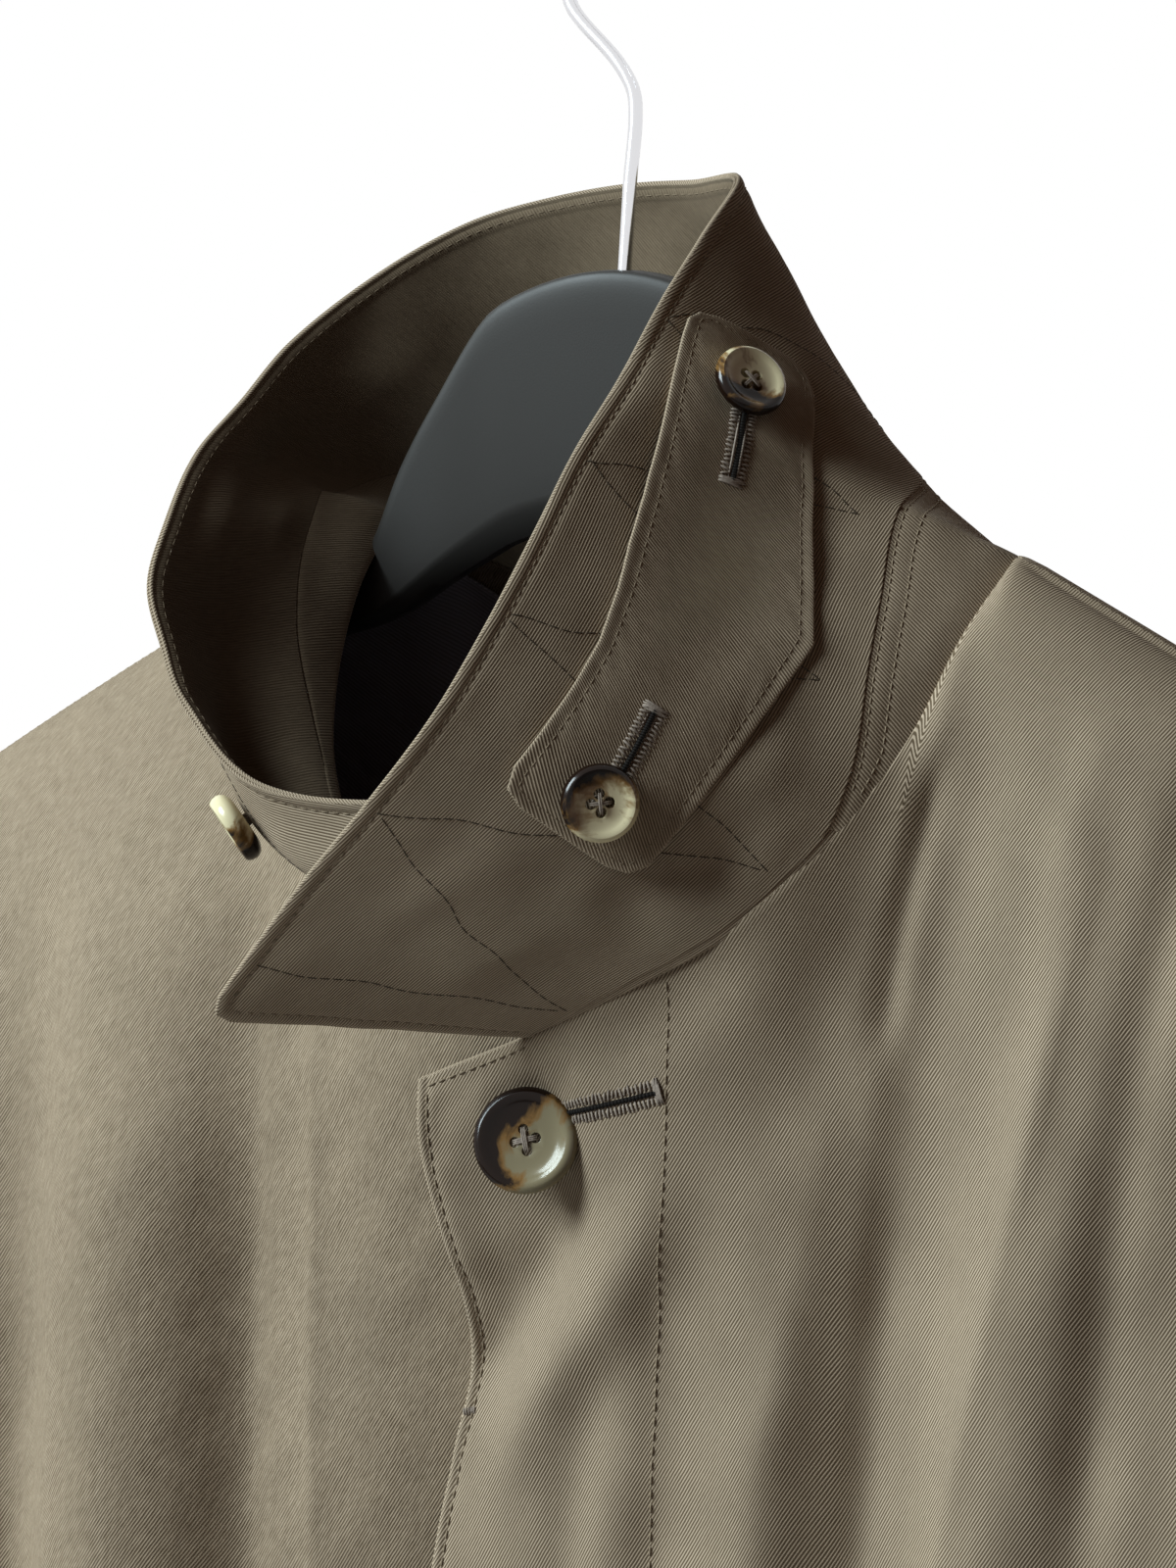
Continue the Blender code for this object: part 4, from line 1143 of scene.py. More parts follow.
@dataclass
class BodyPanel:
    """A half of the coat's body: threads hang from its top edge to the chest ring and the hem."""

    edges: tuple[tuple[Top, ...], ...]
    chest: tuple[tuple[float, float], ...]
    hem: tuple[tuple[float, float], ...]
    side: int
    folds: tuple[Fold, ...] = ()
    creases: tuple[Crease, ...] = ()
    inset: float = 0.0          # how far the right front lies behind the left one at the opening
    sway: float = 0.0           # how far the left front's edge swings in below the collar
    lengths: list[float] = field(init=False)

    def __post_init__(self) -> None:
        """Measure the stretches of the top edge."""
        paths = [np.array([row[:3] for row in rows], float) for rows in self.edges]
        self.lengths = [float(np.linalg.norm(np.diff(path, axis=0), axis=1).sum()) for path in paths]

    def top(self, run: Array) -> Array:
        """Stations of the top edge.

        Args:
            run: Runs along the edge in millimetres.

        Returns:
            Rows of x, y, z, level, lean and share.
        """
        found = np.zeros((run.size, 6))
        start = 0.0
        for rows, length in zip(self.edges, self.lengths):
            table = np.array(rows, float)
            inside = run >= start - 1e-6
            t = np.clip((run[inside] - start) / length, 0.0, 1.0)
            found[inside] = along(run_keys(table[:, :3]), table, t)
            start += length
        return found

    def threads(self, run: Array, down: Array) -> tuple[Array, Array]:
        """Points of the plain panel.

        Args:
            run: Columns, as runs along the top edge.
            down: Rows: 0 at the top edge, 1 at the chest, 2 at the hem.

        Returns:
            Points by row and column, and the share of each column on the rings.
        """
        top = self.top(run)
        start, level, lean, share = top[:, :3], top[:, 3:4], top[:, 4:5], top[:, 5]
        rings = []
        for plan, z in ((self.chest, CHEST_Z), (self.hem, HEM_Z)):
            ring = np.array([(x, y, z) for x, y in plan], float)
            rings.append(along(run_keys(ring), ring, share))
        chest, fall = rings[0], rings[1] - rings[0]
        drop = start[:, 2:3] - CHEST_Z
        slope = SHOULDER_SLOPE * level * lean - drop * (1.0 - level) / LEAVE
        forward = 2.2 * (chest[:, 1:2] - start[:, 1:2]) * np.minimum(1.6 * level, 1.0)
        leave = np.concatenate((-LEAVE * lean, forward, LEAVE * slope), axis=1)
        arrive = unit(fall) * drop
        u = np.minimum(down, 1.0)[:, None, None]
        points = bent(u, start, leave, chest, arrive) + fall * np.maximum(down - 1.0, 0.0)[:, None, None]
        points[..., 1] += self.inset * ease(1.0 - np.abs(points[..., 0]) / 70.0)
        points[..., 0] *= self.side
        points[..., 2] -= shoulder_drop(points)
        return points, share

    def cloth(self, run: Array, down: Array, seed: int) -> Cloth:
        """A front with its folds, creases and slight waves.

        Args:
            run: Columns, as runs along the top edge.
            down: Rows.
            seed: Seed of the waves.

        Returns:
            The cloth.
        """
        points, share = self.threads(run, down)
        points = settled(points, run, down)
        points[..., 0] += self.sway * hump(run, 0.0, 36.0) * hump(points[..., 2], -150.0, 32.0)
        flat = cut_places(points, down, 0) * (self.side, 1.0)
        sheet = Cloth(points, run, down, flat, sign=float(-self.side))
        sheet.drape(share, self.folds, self.creases, ((0.55, 46.0), (0.22, 15.0)), seed)
        return sheet


@dataclass
class Stitching:
    """Rows of thread, gathered into one mesh."""

    name: str
    material: Material
    sides: int = 5
    verts: list[Array] = field(default_factory=list)

    RINGS = ((-0.5, 0.45, -0.9), (-0.32, 0.92, -0.15), (0.0, 1.0, 0.25), (0.32, 0.92, -0.15),
             (0.5, 0.45, -0.9))

    def lay(self, centres: Array, runs: Array, normals: Array, radius: float) -> None:
        """Lay one stitch at each centre.

        Args:
            centres: Middles of the stitches.
            runs: Their lengths as vectors.
            normals: Outward normals of the cloth.
            radius: Radius of the thread.
        """
        beside = unit(np.cross(normals, runs)) * radius
        over = unit(np.cross(runs, beside)) * radius
        rings = []
        for run, swell, rise in self.RINGS:
            for n in range(self.sides):
                turn = 2 * math.pi * n / self.sides
                rings.append(centres + runs * run + beside * (swell * math.cos(turn))
                             + over * (swell * math.sin(turn) + rise))
        self.verts.append(np.stack(rings, axis=1))

    def row(self, points: Array, normals: Array, row: Row) -> None:
        """Sew a row of stitches along a path.

        Args:
            points: Points of the path.
            normals: Outward normals of the cloth.
            row: Kind of row.
        """
        runs = running(points)
        places = np.arange(0.5 * row.pitch, runs[-1] - 0.3 * row.pitch, row.pitch)
        first, last = (read_rows(points, runs, places + end * row.length) for end in (-0.5, 0.5))
        outward = unit(read_rows(normals, runs, places))
        self.lay(read_rows(points, runs, places) + outward * row.lift, last - first, outward, row.radius)

    def build(self) -> Object:
        """Make the mesh of all stitches.

        Returns:
            The new object.
        """
        places = np.concatenate(self.verts)
        count, sides, rings = places.shape[0], self.sides, len(self.RINGS)
        quads = [(r * sides + n, r * sides + (n + 1) % sides, (r + 1) * sides + (n + 1) % sides,
                  (r + 1) * sides + n) for r in range(rings - 1) for n in range(sides)]
        ends = [tuple(range(sides - 1, -1, -1)), tuple((rings - 1) * sides + n for n in range(sides))]
        faces = []
        for n in range(count):
            base = n * sides * rings
            faces += [tuple(base + corner for corner in face) for face in quads + ends]
        mesh = bpy.data.meshes.new(self.name)
        mesh.from_pydata(((places.reshape(-1, 3) + COAT_AT) * MM).tolist(), [], faces)
        mesh.materials.append(self.material)
        mesh.shade_smooth()
        piece = link_piece(self.name, mesh)
        return piece


@dataclass
class Finishes:
    """The coat's materials, made once."""

    body: Material
    near: Material            # the same cloth with its twill drawn as it shows close by
    collar: Material
    # the fall's inner face: the same gabardine in darker colours, painted shade
    facing: Material
    stand: Material
    latch: Material
    lining: Material
    tonal: Material
    zigzag: Material
    purl: Material
    # near-black thread painted as the shadow in the buttonhole slits
    slit: Material

    @classmethod
    def mix(cls) -> Finishes:
        """Make the materials.

        Returns:
            All of them.
        """
        cloth = Gabardine()
        return cls(
            body=cloth.material("gabardine body", 60.0, 0.8),
            near=cloth.material("gabardine left front", 60.0, 2.8),
            collar=cloth.material("gabardine undercollar", 3.0, 2.8),
            # Darker colours, painted as the shade inside the turned-up collar.
            facing=Gabardine("#66594A", "#7B6D5C", "#8A7C6A", "#9D8F7C").material(
                "gabardine top collar in painted shade", 62.0, 0.6),
            stand=cloth.material("gabardine stand", 66.0, 2.4),
            latch=cloth.material("gabardine latch", 127.0, 1.5),
            lining=LiningTwill().material(),
            tonal=SewingThread("#796B5A", "#A2937F").material("tonal sewing thread"),
            zigzag=SewingThread("#332B22", "#574C3E").material("dark sewing thread"),
            purl=SewingThread("#81756C", "#B7ABA0").material("buttonhole twist"),
            slit=SewingThread("#0D0A08", "#1A1511").material("buttonhole shadow"))


@dataclass
class Body:
    """Fronts, back and back lining of the coat."""

    finishes: Finishes
    thick: float = 1.8
    lining_thick: float = 1.0
    lining_gap: float = 0.9
    placket_stitch: float = 2.0
    grain: float = 62.0
    back_seed: int = 31
    left: BodyPanel = field(init=False)
    right: BodyPanel = field(init=False)
    halves: dict[int, BodyPanel] = field(init=False)
    cloths: dict[str, Cloth] = field(default_factory=dict)

    def __post_init__(self) -> None:
        """Set out the panels."""
        fronts = (FRONT_NECK, FRONT_SHOULDER, FRONT_ARMHOLE)
        backs = (BACK_NECK, BACK_SHOULDER, BACK_ARMHOLE)
        self.left = BodyPanel(fronts, FRONT_CHEST, FRONT_HEM, 1, LEFT_FOLDS, LEFT_CREASES, sway=7.5)
        self.right = BodyPanel(fronts, FRONT_CHEST, FRONT_HEM, -1, RIGHT_FOLDS, RIGHT_CREASES, inset=8.0)
        self.halves = {side: BodyPanel(backs, BACK_CHEST, BACK_HEM, side) for side in (-1, 1)}

    def rows(self, fine: float) -> Array:
        """Rows of a panel, closest at its top edge and its hem.

        Args:
            fine: Spacing over the chest.

        Returns:
            Rising rows: 0 at the top edge, 1 at the chest, 2 at the hem.
        """
        upper = graded(YOKE, fine, ((0.0, 0.5, 5.0),)) / YOKE
        closer = ((0.0, fine, 60.0), (SKIRT - HEM_TURN, 0.8, 5.0), (SKIRT, 0.7, 5.0))
        return np.concatenate((upper, 1.0 + graded(SKIRT, 3.6 * fine, closer)[1:] / SKIRT))

    def front(self, node: str, panel: BodyPanel, seed: int) -> Object:
        """Build one front with its turned front edge, fly row and hem.

        Args:
            node: Name of the front's node.
            panel: Its panel.
            seed: Seed of its waves.

        Returns:
            The new piece.
        """
        neck, shoulder, armhole = panel.lengths
        top = neck + shoulder
        visible = graded(top, 2.5, ((0.0, 0.45, 4.0), (60.0, 0.7, 3.5)))
        hidden = top + graded(armhole, 6.0, ((0.0, 2.5, 14.0),))[1:]
        cloth = panel.cloth(np.concatenate((visible, hidden)), self.rows(2.4), seed)
        edge, drop = cloth.gap_across(), cloth.gap_down()
        out = edge_roll(edge, self.placket_stitch, 0.22, 0.28) + hem_out(cloth.gap_down(True))
        pulled = np.sin(cloth.flat[..., 1] / 1.9 + 2.0 * ripple(cloth.flat, 30.0, seed + 5))
        out += 0.09 * pulled * hump(edge, 3.0, 2.6)
        neckline = ease((neck - cloth.across) / 3.0) * ease(cloth.across / 30.0)
        out -= 0.3 * neckline * hump(drop, 0.0, 0.9)
        ridge = ease((cloth.across - neck) / 8.0) * ease((top - cloth.across) / 8.0)
        out += ridge * (0.55 * hump(drop, 1.0, 1.1) - 0.35 * hump(drop, 3.0, 0.9))
        cloth.lift(out)
        self.cloths[node] = cloth
        return dress(cloth.shell(node + "_cloth", self.thick, Rim.TURNED, self.grain), node, "gabardine",
                     self.finishes.near if panel is self.left else self.finishes.body)

    def joined_back(self, run: Array, down: Array) -> Cloth:
        """Both halves of the back as one cloth from side seam to side seam.

        Args:
            run: Columns of a half, as runs along its top edge.
            down: Rows.

        Returns:
            The cloth with its folds, creases and slight waves.
        """
        (right, right_share), (left, share) = (self.halves[side].threads(run, down) for side in (-1, 1))
        points = np.concatenate((right[:, :0:-1], left), axis=1)
        share = np.concatenate((-right_share[:0:-1], share))
        points = settled(points, np.concatenate((-run[:0:-1], run)), down)
        sheet = Cloth(points, share, down, cut_places(points, down, run.size - 1))
        sheet.drape(share, BACK_FOLDS, BACK_CREASES, ((0.6, 50.0), (0.2, 16.0)), self.back_seed)
        return sheet

    def back(self) -> Object:
        """Build the back in one piece.

        Returns:
            The new piece.
        """
        neck, shoulder, armhole = self.halves[1].lengths
        run = np.concatenate((graded(neck + shoulder, 4.2, ()),
                              neck + shoulder + graded(armhole, 7.0, ((0.0, 3.0, 14.0),))[1:]))
        cloth = self.joined_back(run, self.rows(3.6))
        cloth.lift(hem_out(cloth.gap_down(True)))
        self.cloths["back"] = cloth
        return dress(cloth.shell("back_cloth", self.thick, Rim.TURNED, self.grain), "back", "gabardine",
                     self.finishes.body)

    def lining(self) -> Object:
        """Build the part of the lining that shows through the neck.

        Returns:
            The new piece.
        """
        neck, shoulder, _ = self.halves[1].lengths
        run = graded(neck + 0.6 * shoulder, 4.0, ())
        cloth = self.joined_back(run, graded(0.63, 0.012, ()) + 0.07)
        cloth.lift(np.full(cloth.points.shape[:2], -(self.thick + self.lining_gap)))
        cloth.lift(0.35 * ripple(cloth.flat, 22.0, 77) - 0.2)
        return dress(cloth.shell("back_lining_cloth", self.lining_thick, Rim.TURNED, 45.0), "back_lining",
                     "lining", self.finishes.lining)


@dataclass
class Sleeves:
    """Two set-in sleeves that hang as open tubes."""

    finishes: Finishes
    thick: float = 1.8
    upper: tuple[float, float, float, float] = (264.0, -2.0, 33.0, 84.0)
    cuff: tuple[float, float, float, float] = (296.0, -20.0, 29.0, 70.0)
    columns: int = 96
    grain: float = 62.0
    seam_gap: float = 0.9
    cut_round: float = 340.0        # length of the cut round the sleeve
    crease_round: float = 300.0     # and what its creases' table counts for a turn
    cloths: dict[int, Cloth] = field(default_factory=dict)

    def armhole(self, turn: Array) -> Array:
        """Points of the armhole.

        Args:
            turn: Turns round it: 0 shoulder, 0.5 underarm, the front first.

        Returns:
            A point for each turn.
        """
        rings = []
        for rows in (FRONT_ARMHOLE, BACK_ARMHOLE):
            path = np.array([row[:3] for row in rows], float)
            t = np.clip(np.where(turn <= 0.5, turn, 1.0 - turn) * 2.0, 0.0, 1.0)
            rings.append(along(run_keys(path), path, t))
        return np.where((turn <= 0.5)[:, None], rings[0], rings[1])

    def build(self, name: str, side: int) -> Object:
        """Build one sleeve.

        Args:
            name: Name of the sleeve's node.
            side: 1 the left sleeve, -1 the right one.

        Returns:
            The new piece.
        """
        turn = np.arange(self.columns) / self.columns
        down = np.concatenate((graded(1.0, 0.016, ((0.0, 0.006, 0.04),)),
                               1.0 + graded(1.0, 0.018, ((0.91, 0.004, 0.02), (1.0, 0.003, 0.015)))[1:]))
        start = self.armhole(turn) + np.array((self.seam_gap, 0.0, 0.0))
        round_x, round_y = np.cos(2 * math.pi * turn), -np.sin(2 * math.pi * turn)

        def ring(sizes: tuple[float, float, float, float], z: float) -> Array:
            """Ring of the sleeve at a height."""
            return np.stack((sizes[0] + sizes[2] * round_x, sizes[1] + sizes[3] * round_y,
                             np.full_like(turn, z)), axis=1)

        upper, cuff = ring(self.upper, UPPER_ARM_Z), ring(self.cuff, CUFF_Z)
        fall, drop = cuff - upper, start[:, 2:3] - UPPER_ARM_Z
        top = (0.5 + 0.5 * round_x)[:, None]
        leave = np.concatenate((0.35 + 0.65 * top, 0.35 * round_y[:, None], -1.0 + 0.5 * top), axis=1)
        leave = unit(leave) * (60.0 + 105.0 * top)
        arrive = unit(fall) * (drop * 1.1)
        u = np.minimum(down, 1.0)[:, None, None]
        points = bent(u, start, leave, upper, arrive) + fall * np.maximum(down - 1.0, 0.0)[:, None, None]
        z = points[..., 2]
        swell = fold_out(SLEEVE_FOLDS, np.broadcast_to(turn, z.shape), z) * ease((down - 0.15) / 0.6)[:, None]
        points[..., 0] += swell * round_x
        points[..., 1] += swell * round_y
        points[..., 0] *= side
        points[..., 2] -= shoulder_drop(points)
        flat = np.stack((np.broadcast_to(turn * self.cut_round * side, z.shape), -running(points)), axis=-1)
        cloth = Cloth(points, turn, down, flat, sign=float(side), wrap=True)
        if float((cloth.normals[60] * (points[60] - points[60].mean(axis=0))).sum()) < 0:
            cloth.sign = -cloth.sign
            cloth.measure()
        free = ease((down - 0.1) / 0.5)[:, None]
        out = crease_out(SLEEVE_CREASES, np.broadcast_to(turn * self.crease_round, z.shape), z)
        for high, waves, pitch in ((0.35, 3, 31.0), (0.25, 7, -19.0)):
            out += high * np.sin(2 * math.pi * turn * waves + z / pitch)
        cloth.lift(out * free + hem_out(cloth.gap_down(True)) + 0.7 * hump(cloth.gap_down(), 5.0, 4.0))
        self.cloths[side] = cloth
        return dress(cloth.shell(name + "_cloth", self.thick, Rim.TURNED, self.grain), name, "gabardine",
                     self.finishes.body)


@dataclass
class Collar:
    """The turned-up collar: its fall, its crescent stand and the throat latch on its left outside."""

    body: Body
    finishes: Finishes
    thick: float = 1.7
    stand_thick: float = 0.8
    stand_high: float = 32.0
    seam_row: float = 0.25          # row of the fall's cloth at the stand seam
    sunk: float = 1.4               # how far the collar's foot is let into the neck seam
    latch_thick: float = 1.0
    latch_gap: float = 0.35
    neck_point: float = 0.295       # share of the neck seam, from its front end
    stand_ends: tuple[float, float] = (0.155, 0.840)
    # Distance of the stand's stitch rows from its upper edge, and the part of its height they keep to.
    stand_rows: tuple[tuple[float, float], ...] = ((1.1, 0.22), (4.7, 0.55))
    edge_stitch: float = 2.4
    edge_long: float = 430.0
    corner: float = 5.0
    latch_size: tuple[float, float] = (128.0, 27.0)
    cloths: dict[str, Cloth] = field(default_factory=dict)

    def seam(self, share: Array) -> Array:
        """Points of the neck seam.

        Args:
            share: Shares of the seam, from the left front end round the back to the right one.

        Returns:
            A point for each share.
        """
        flat = share.ravel()
        half = np.minimum(flat, 1.0 - flat)
        neck_rows = np.array([row[:3] for row in FRONT_NECK], float)
        first = run_keys(neck_rows)[1]
        found = np.zeros((flat.size, 3))
        fronts = {1: self.body.left, -1: self.body.right}
        for side in (1, -1):
            here = (flat <= 0.5) if side > 0 else (flat > 0.5)
            ahead = here & (half <= self.neck_point)
            t = first + (1.0 - first) * half[ahead] / self.neck_point
            front = fronts[side]
            found[ahead] = front.threads(t * front.lengths[0] - 1e-6, np.zeros(1))[0][0]
            behind = here & (half > self.neck_point)
            t = (0.5 - half[behind]) / (0.5 - self.neck_point)
            back = self.body.halves[side]
            found[behind] = back.threads(t * back.lengths[0] - 1e-6, np.zeros(1))[0][0]
        return found.reshape(share.shape + (3,))

    def table(self, share: Array, first: int, last: int) -> Array:
        """Columns of the collar's sections at shares of the seam."""
        rows = np.array(COLLAR, float)
        return along(rows[:, 0], rows[:, first:last], share)

    def plain(self, share: Array, up: Array) -> Array:
        """Points of the collar's outer face, without creases.

        Args:
            share: Shares of the neck seam.
            up: Heights, 0 at the seam and 1 at the edge.

        Returns:
            A point for each place.
        """
        foot, edge = self.seam(share), self.table(share, 1, 4)
        hollow = self.table(share, 4, 5)
        step = self.seam(np.minimum(share + 0.01, 1.0)) - self.seam(np.maximum(share - 0.01, 0.0))
        inward = unit(np.cross(edge - foot, step))
        return foot + (edge - foot) * up[..., None] + inward * hollow * np.sin(math.pi * up[..., None]) ** 2

    def place(self, share: Array, up: Array, out: float = 0.0) -> tuple[Array, Array]:
        """Places on the plain collar.

        Args:
            share: Shares of the neck seam.
            up: Heights, 0 at the seam and 1 at the edge.
            out: How far the points are moved out.

        Returns:
            Points and outward normals.
        """
        step = self.plain(np.minimum(share + 0.008, 1.0), up) - self.plain(np.maximum(share - 0.008, 0.0), up)
        rise = self.plain(share, np.minimum(up + 0.04, 1.0)) - self.plain(share, np.maximum(up - 0.04, 0.0))
        normals = unit(np.cross(step, rise))
        return self.plain(share, up) + normals * out, normals

    def height(self, share: Array) -> Array:
        """Height of the collar along the seam."""
        return np.linalg.norm(self.table(share, 1, 4) - self.seam(share), axis=-1)

    def sheet(self, shares: Array, rows: Array, up: Array) -> Cloth:
        """Cloth of a part of the collar.

        Args:
            shares: Columns, as shares of the neck seam.
            rows: Rows from 0 to 1.
            up: Height of each row and column, 0 at the neck seam and 1 at the edge.

        Returns:
            The cloth with the collar's creases.
        """
        grid = np.broadcast_to(shares, up.shape)
        height = self.height(shares)
        near = corner_in((1.0 - up) * height, grid * NECK_LONG, self.corner)
        far = corner_in((1.0 - up) * height, (1.0 - grid) * NECK_LONG, self.corner)
        grid, up = grid + (near - far) / NECK_LONG, up - (near + far) / height
        flat = np.stack((grid * NECK_LONG, up * height), axis=-1)
        cloth = Cloth(self.plain(grid, up), shares, rows, flat)
        out = crease_out(COLLAR_CREASES, grid * NECK_LONG, up * COLLAR_HIGH)
        out = out + 0.35 * ripple(flat, 34.0, 5) + 0.10 * ripple(flat, 11.0, 6)
        cloth.lift(out * ease(np.minimum(up * height, (1.0 - up) * height) / 9.0 + 0.15))
        return cloth

    def stand_top(self, share: Array) -> Array:
        """Height of the seam between stand and fall, just over the neck seam where there is no stand."""
        return np.maximum(self.table(share, 5, 6)[..., 0], 0.6 / self.height(share))

    def fall_row(self, part: Array | float) -> Array | float:
        """Row of the fall's cloth at a part of its height over the stand seam."""
        return self.seam_row + (1.0 - self.seam_row) * part

    def fall(self) -> Object:
        """Build the fall with its layered edge, and the base behind the stand that carries it.

        Returns:
            The new piece.
        """
        shares = graded(NECK_LONG, 2.1, ((0.0, 0.5, 4.0), (NECK_LONG, 0.6, 4.0))) / NECK_LONG
        closer = ((0.0, 0.45, 3.0), (COLLAR_HIGH - self.edge_stitch, 0.42, 3.4), (COLLAR_HIGH, 0.42, 2.0))
        upper = graded(COLLAR_HIGH, 2.1, closer) / COLLAR_HIGH
        lower = np.linspace(0.0, 0.985, 12)
        rows = np.concatenate((lower * self.seam_row, self.fall_row(upper)))
        foot, seam = -self.sunk / self.height(shares), self.stand_top(shares)
        up = np.concatenate((foot + (seam - foot) * lower[:, None], seam + (1.0 - seam) * upper[:, None]))
        cloth = self.sheet(shares, rows, up)
        gap = np.minimum(cloth.gap_down(True), np.minimum(cloth.gap_across(), cloth.gap_across(True)))
        out = edge_roll(gap, self.edge_stitch, 0.16, 0.22)
        over = (up - seam) * self.height(shares)
        out += np.where(over >= -1e-6, 0.07 * hump(over, 0.0, 1.5), 0.0)
        deep = (seam - foot) * self.height(shares)
        recess = np.where(over < -1e-6, self.stand_thick + 0.15, 0.0) * ease((deep - 2.1) / 2.0)
        pulled = np.sin(cloth.flat[..., 0] / 1.35 + 2.4 * ripple(cloth.flat, 26.0, 9))
        out += 0.07 * pulled * hump(gap, 3.2, 2.0)
        cloth.lift(out - recess)
        self.cloths["fall"] = cloth
        piece = cloth.shell("collar_fall_cloth", self.thick - recess, Rim.LAYERED, 3.0)
        dress(piece, "collar_fall", "gabardine", self.finishes.collar, self.finishes.facing)
        # The inner faces take the top collar's darker colours, painted shade.
        count, slots = len(cloth.faces()), np.zeros(len(piece.data.polygons), dtype=np.int32)
        slots[count:2 * count] = 1
        piece.data.polygons.foreach_set("material_index", slots)
        return piece

    def stand(self) -> Object:
        """Build the crescent stand that lies under the fall's seam.

        Returns:
            The new piece.
        """
        length, high = NECK_LONG * (self.stand_ends[1] - self.stand_ends[0]), self.stand_high
        shares = self.stand_ends[0] + graded(length, 2.2, ()) / NECK_LONG
        rows = graded(high, 1.5, ((0.0, 0.5, 2.0), (high, 0.4, 4.0))) / high
        foot, seam = -self.sunk / self.height(shares), self.stand_top(shares) - 0.10 / self.height(shares)
        cloth = self.sheet(shares, rows, foot + np.maximum(seam - foot, 0.004) * rows[:, None])
        gap = cloth.gap_down(True)
        (first, _), (second, _) = self.stand_rows
        cloth.lift(-0.05 - 0.10 * hump(gap, first, 0.6) - 0.10 * hump(gap, second, 0.7))
        self.cloths["stand"] = cloth
        piece = cloth.shell("collar_stand_cloth", self.stand_thick, Rim.TURNED, 66.0, 0.4)
        return dress(piece, "collar_stand", "gabardine", self.finishes.stand)

    def latch_spot(self, run: Array, across: Array) -> tuple[Array, Array]:
        """Places of the throat latch on the collar.

        Args:
            run: Places along the latch, 0 to 1.
            across: Places across it, 0 to 1.

        Returns:
            Shares of the neck seam and heights.
        """
        found = read_rows(np.array(LATCH, float), np.linspace(0.0, 1.0, len(LATCH)), run)
        share = found[..., 0] + (found[..., 2] - found[..., 0]) * across
        up = found[..., 1] + (found[..., 3] - found[..., 1]) * across
        return share, up

    def latch(self) -> Object:
        """Build the throat latch with its rolled and stitched edge.

        Returns:
            The new piece.
        """
        long, wide = self.latch_size
        run = graded(long, 1.7, ((2.0, 0.42, 3.0), (long - 2.0, 0.42, 3.0))) / long
        across = graded(wide, 1.5, ((1.8, 0.4, 2.6), (wide - 1.8, 0.4, 2.6))) / wide
        grid_run, grid_across = np.meshgrid(run, across)
        for end in (0.0, 1.0):
            for edge in (0.0, 1.0):
                from_end, from_edge = np.abs(grid_run - end) * long, np.abs(grid_across - edge) * wide
                move = corner_in(from_end, from_edge, self.corner)
                grid_run = grid_run + move / long * (1.0 - 2.0 * end)
                grid_across = grid_across + move / wide * (1.0 - 2.0 * edge)
        share, up = self.latch_spot(grid_run, grid_across)
        points, _ = self.place(share, up, self.latch_gap + self.latch_thick)
        flat = np.stack((grid_run * long, -grid_across * wide), axis=-1)
        cloth = Cloth(points, run, across, flat)
        _, outward = self.place(np.array([0.25]), np.array([0.6]))
        if float((cloth.normals[cloth.normals.shape[0] // 2, run.size // 2] * outward[0]).sum()) < 0:
            cloth.sign = -1.0
            cloth.measure()
        gap = np.min((cloth.gap_down(), cloth.gap_down(True), cloth.gap_across(), cloth.gap_across(True)),
                     axis=0)
        out = edge_roll(gap, 2.0, 0.03, 0.07) + 0.3 * ease(gap / 9.0)
        pulled = np.sin(flat[..., 0] / 1.3 + flat[..., 1] / 1.5 + 2.0 * ripple(flat, 20.0, 14))
        out += 0.08 * pulled * hump(gap, 3.0, 1.8) + 0.22 * ripple(flat, 19.0, 15)
        cloth.lift(out)
        self.cloths["latch"] = cloth
        piece = cloth.shell("throat_latch_cloth", self.latch_thick, Rim.LAYERED, 55.0, 0.5)
        return dress(piece, "throat_latch", "gabardine", self.finishes.latch)


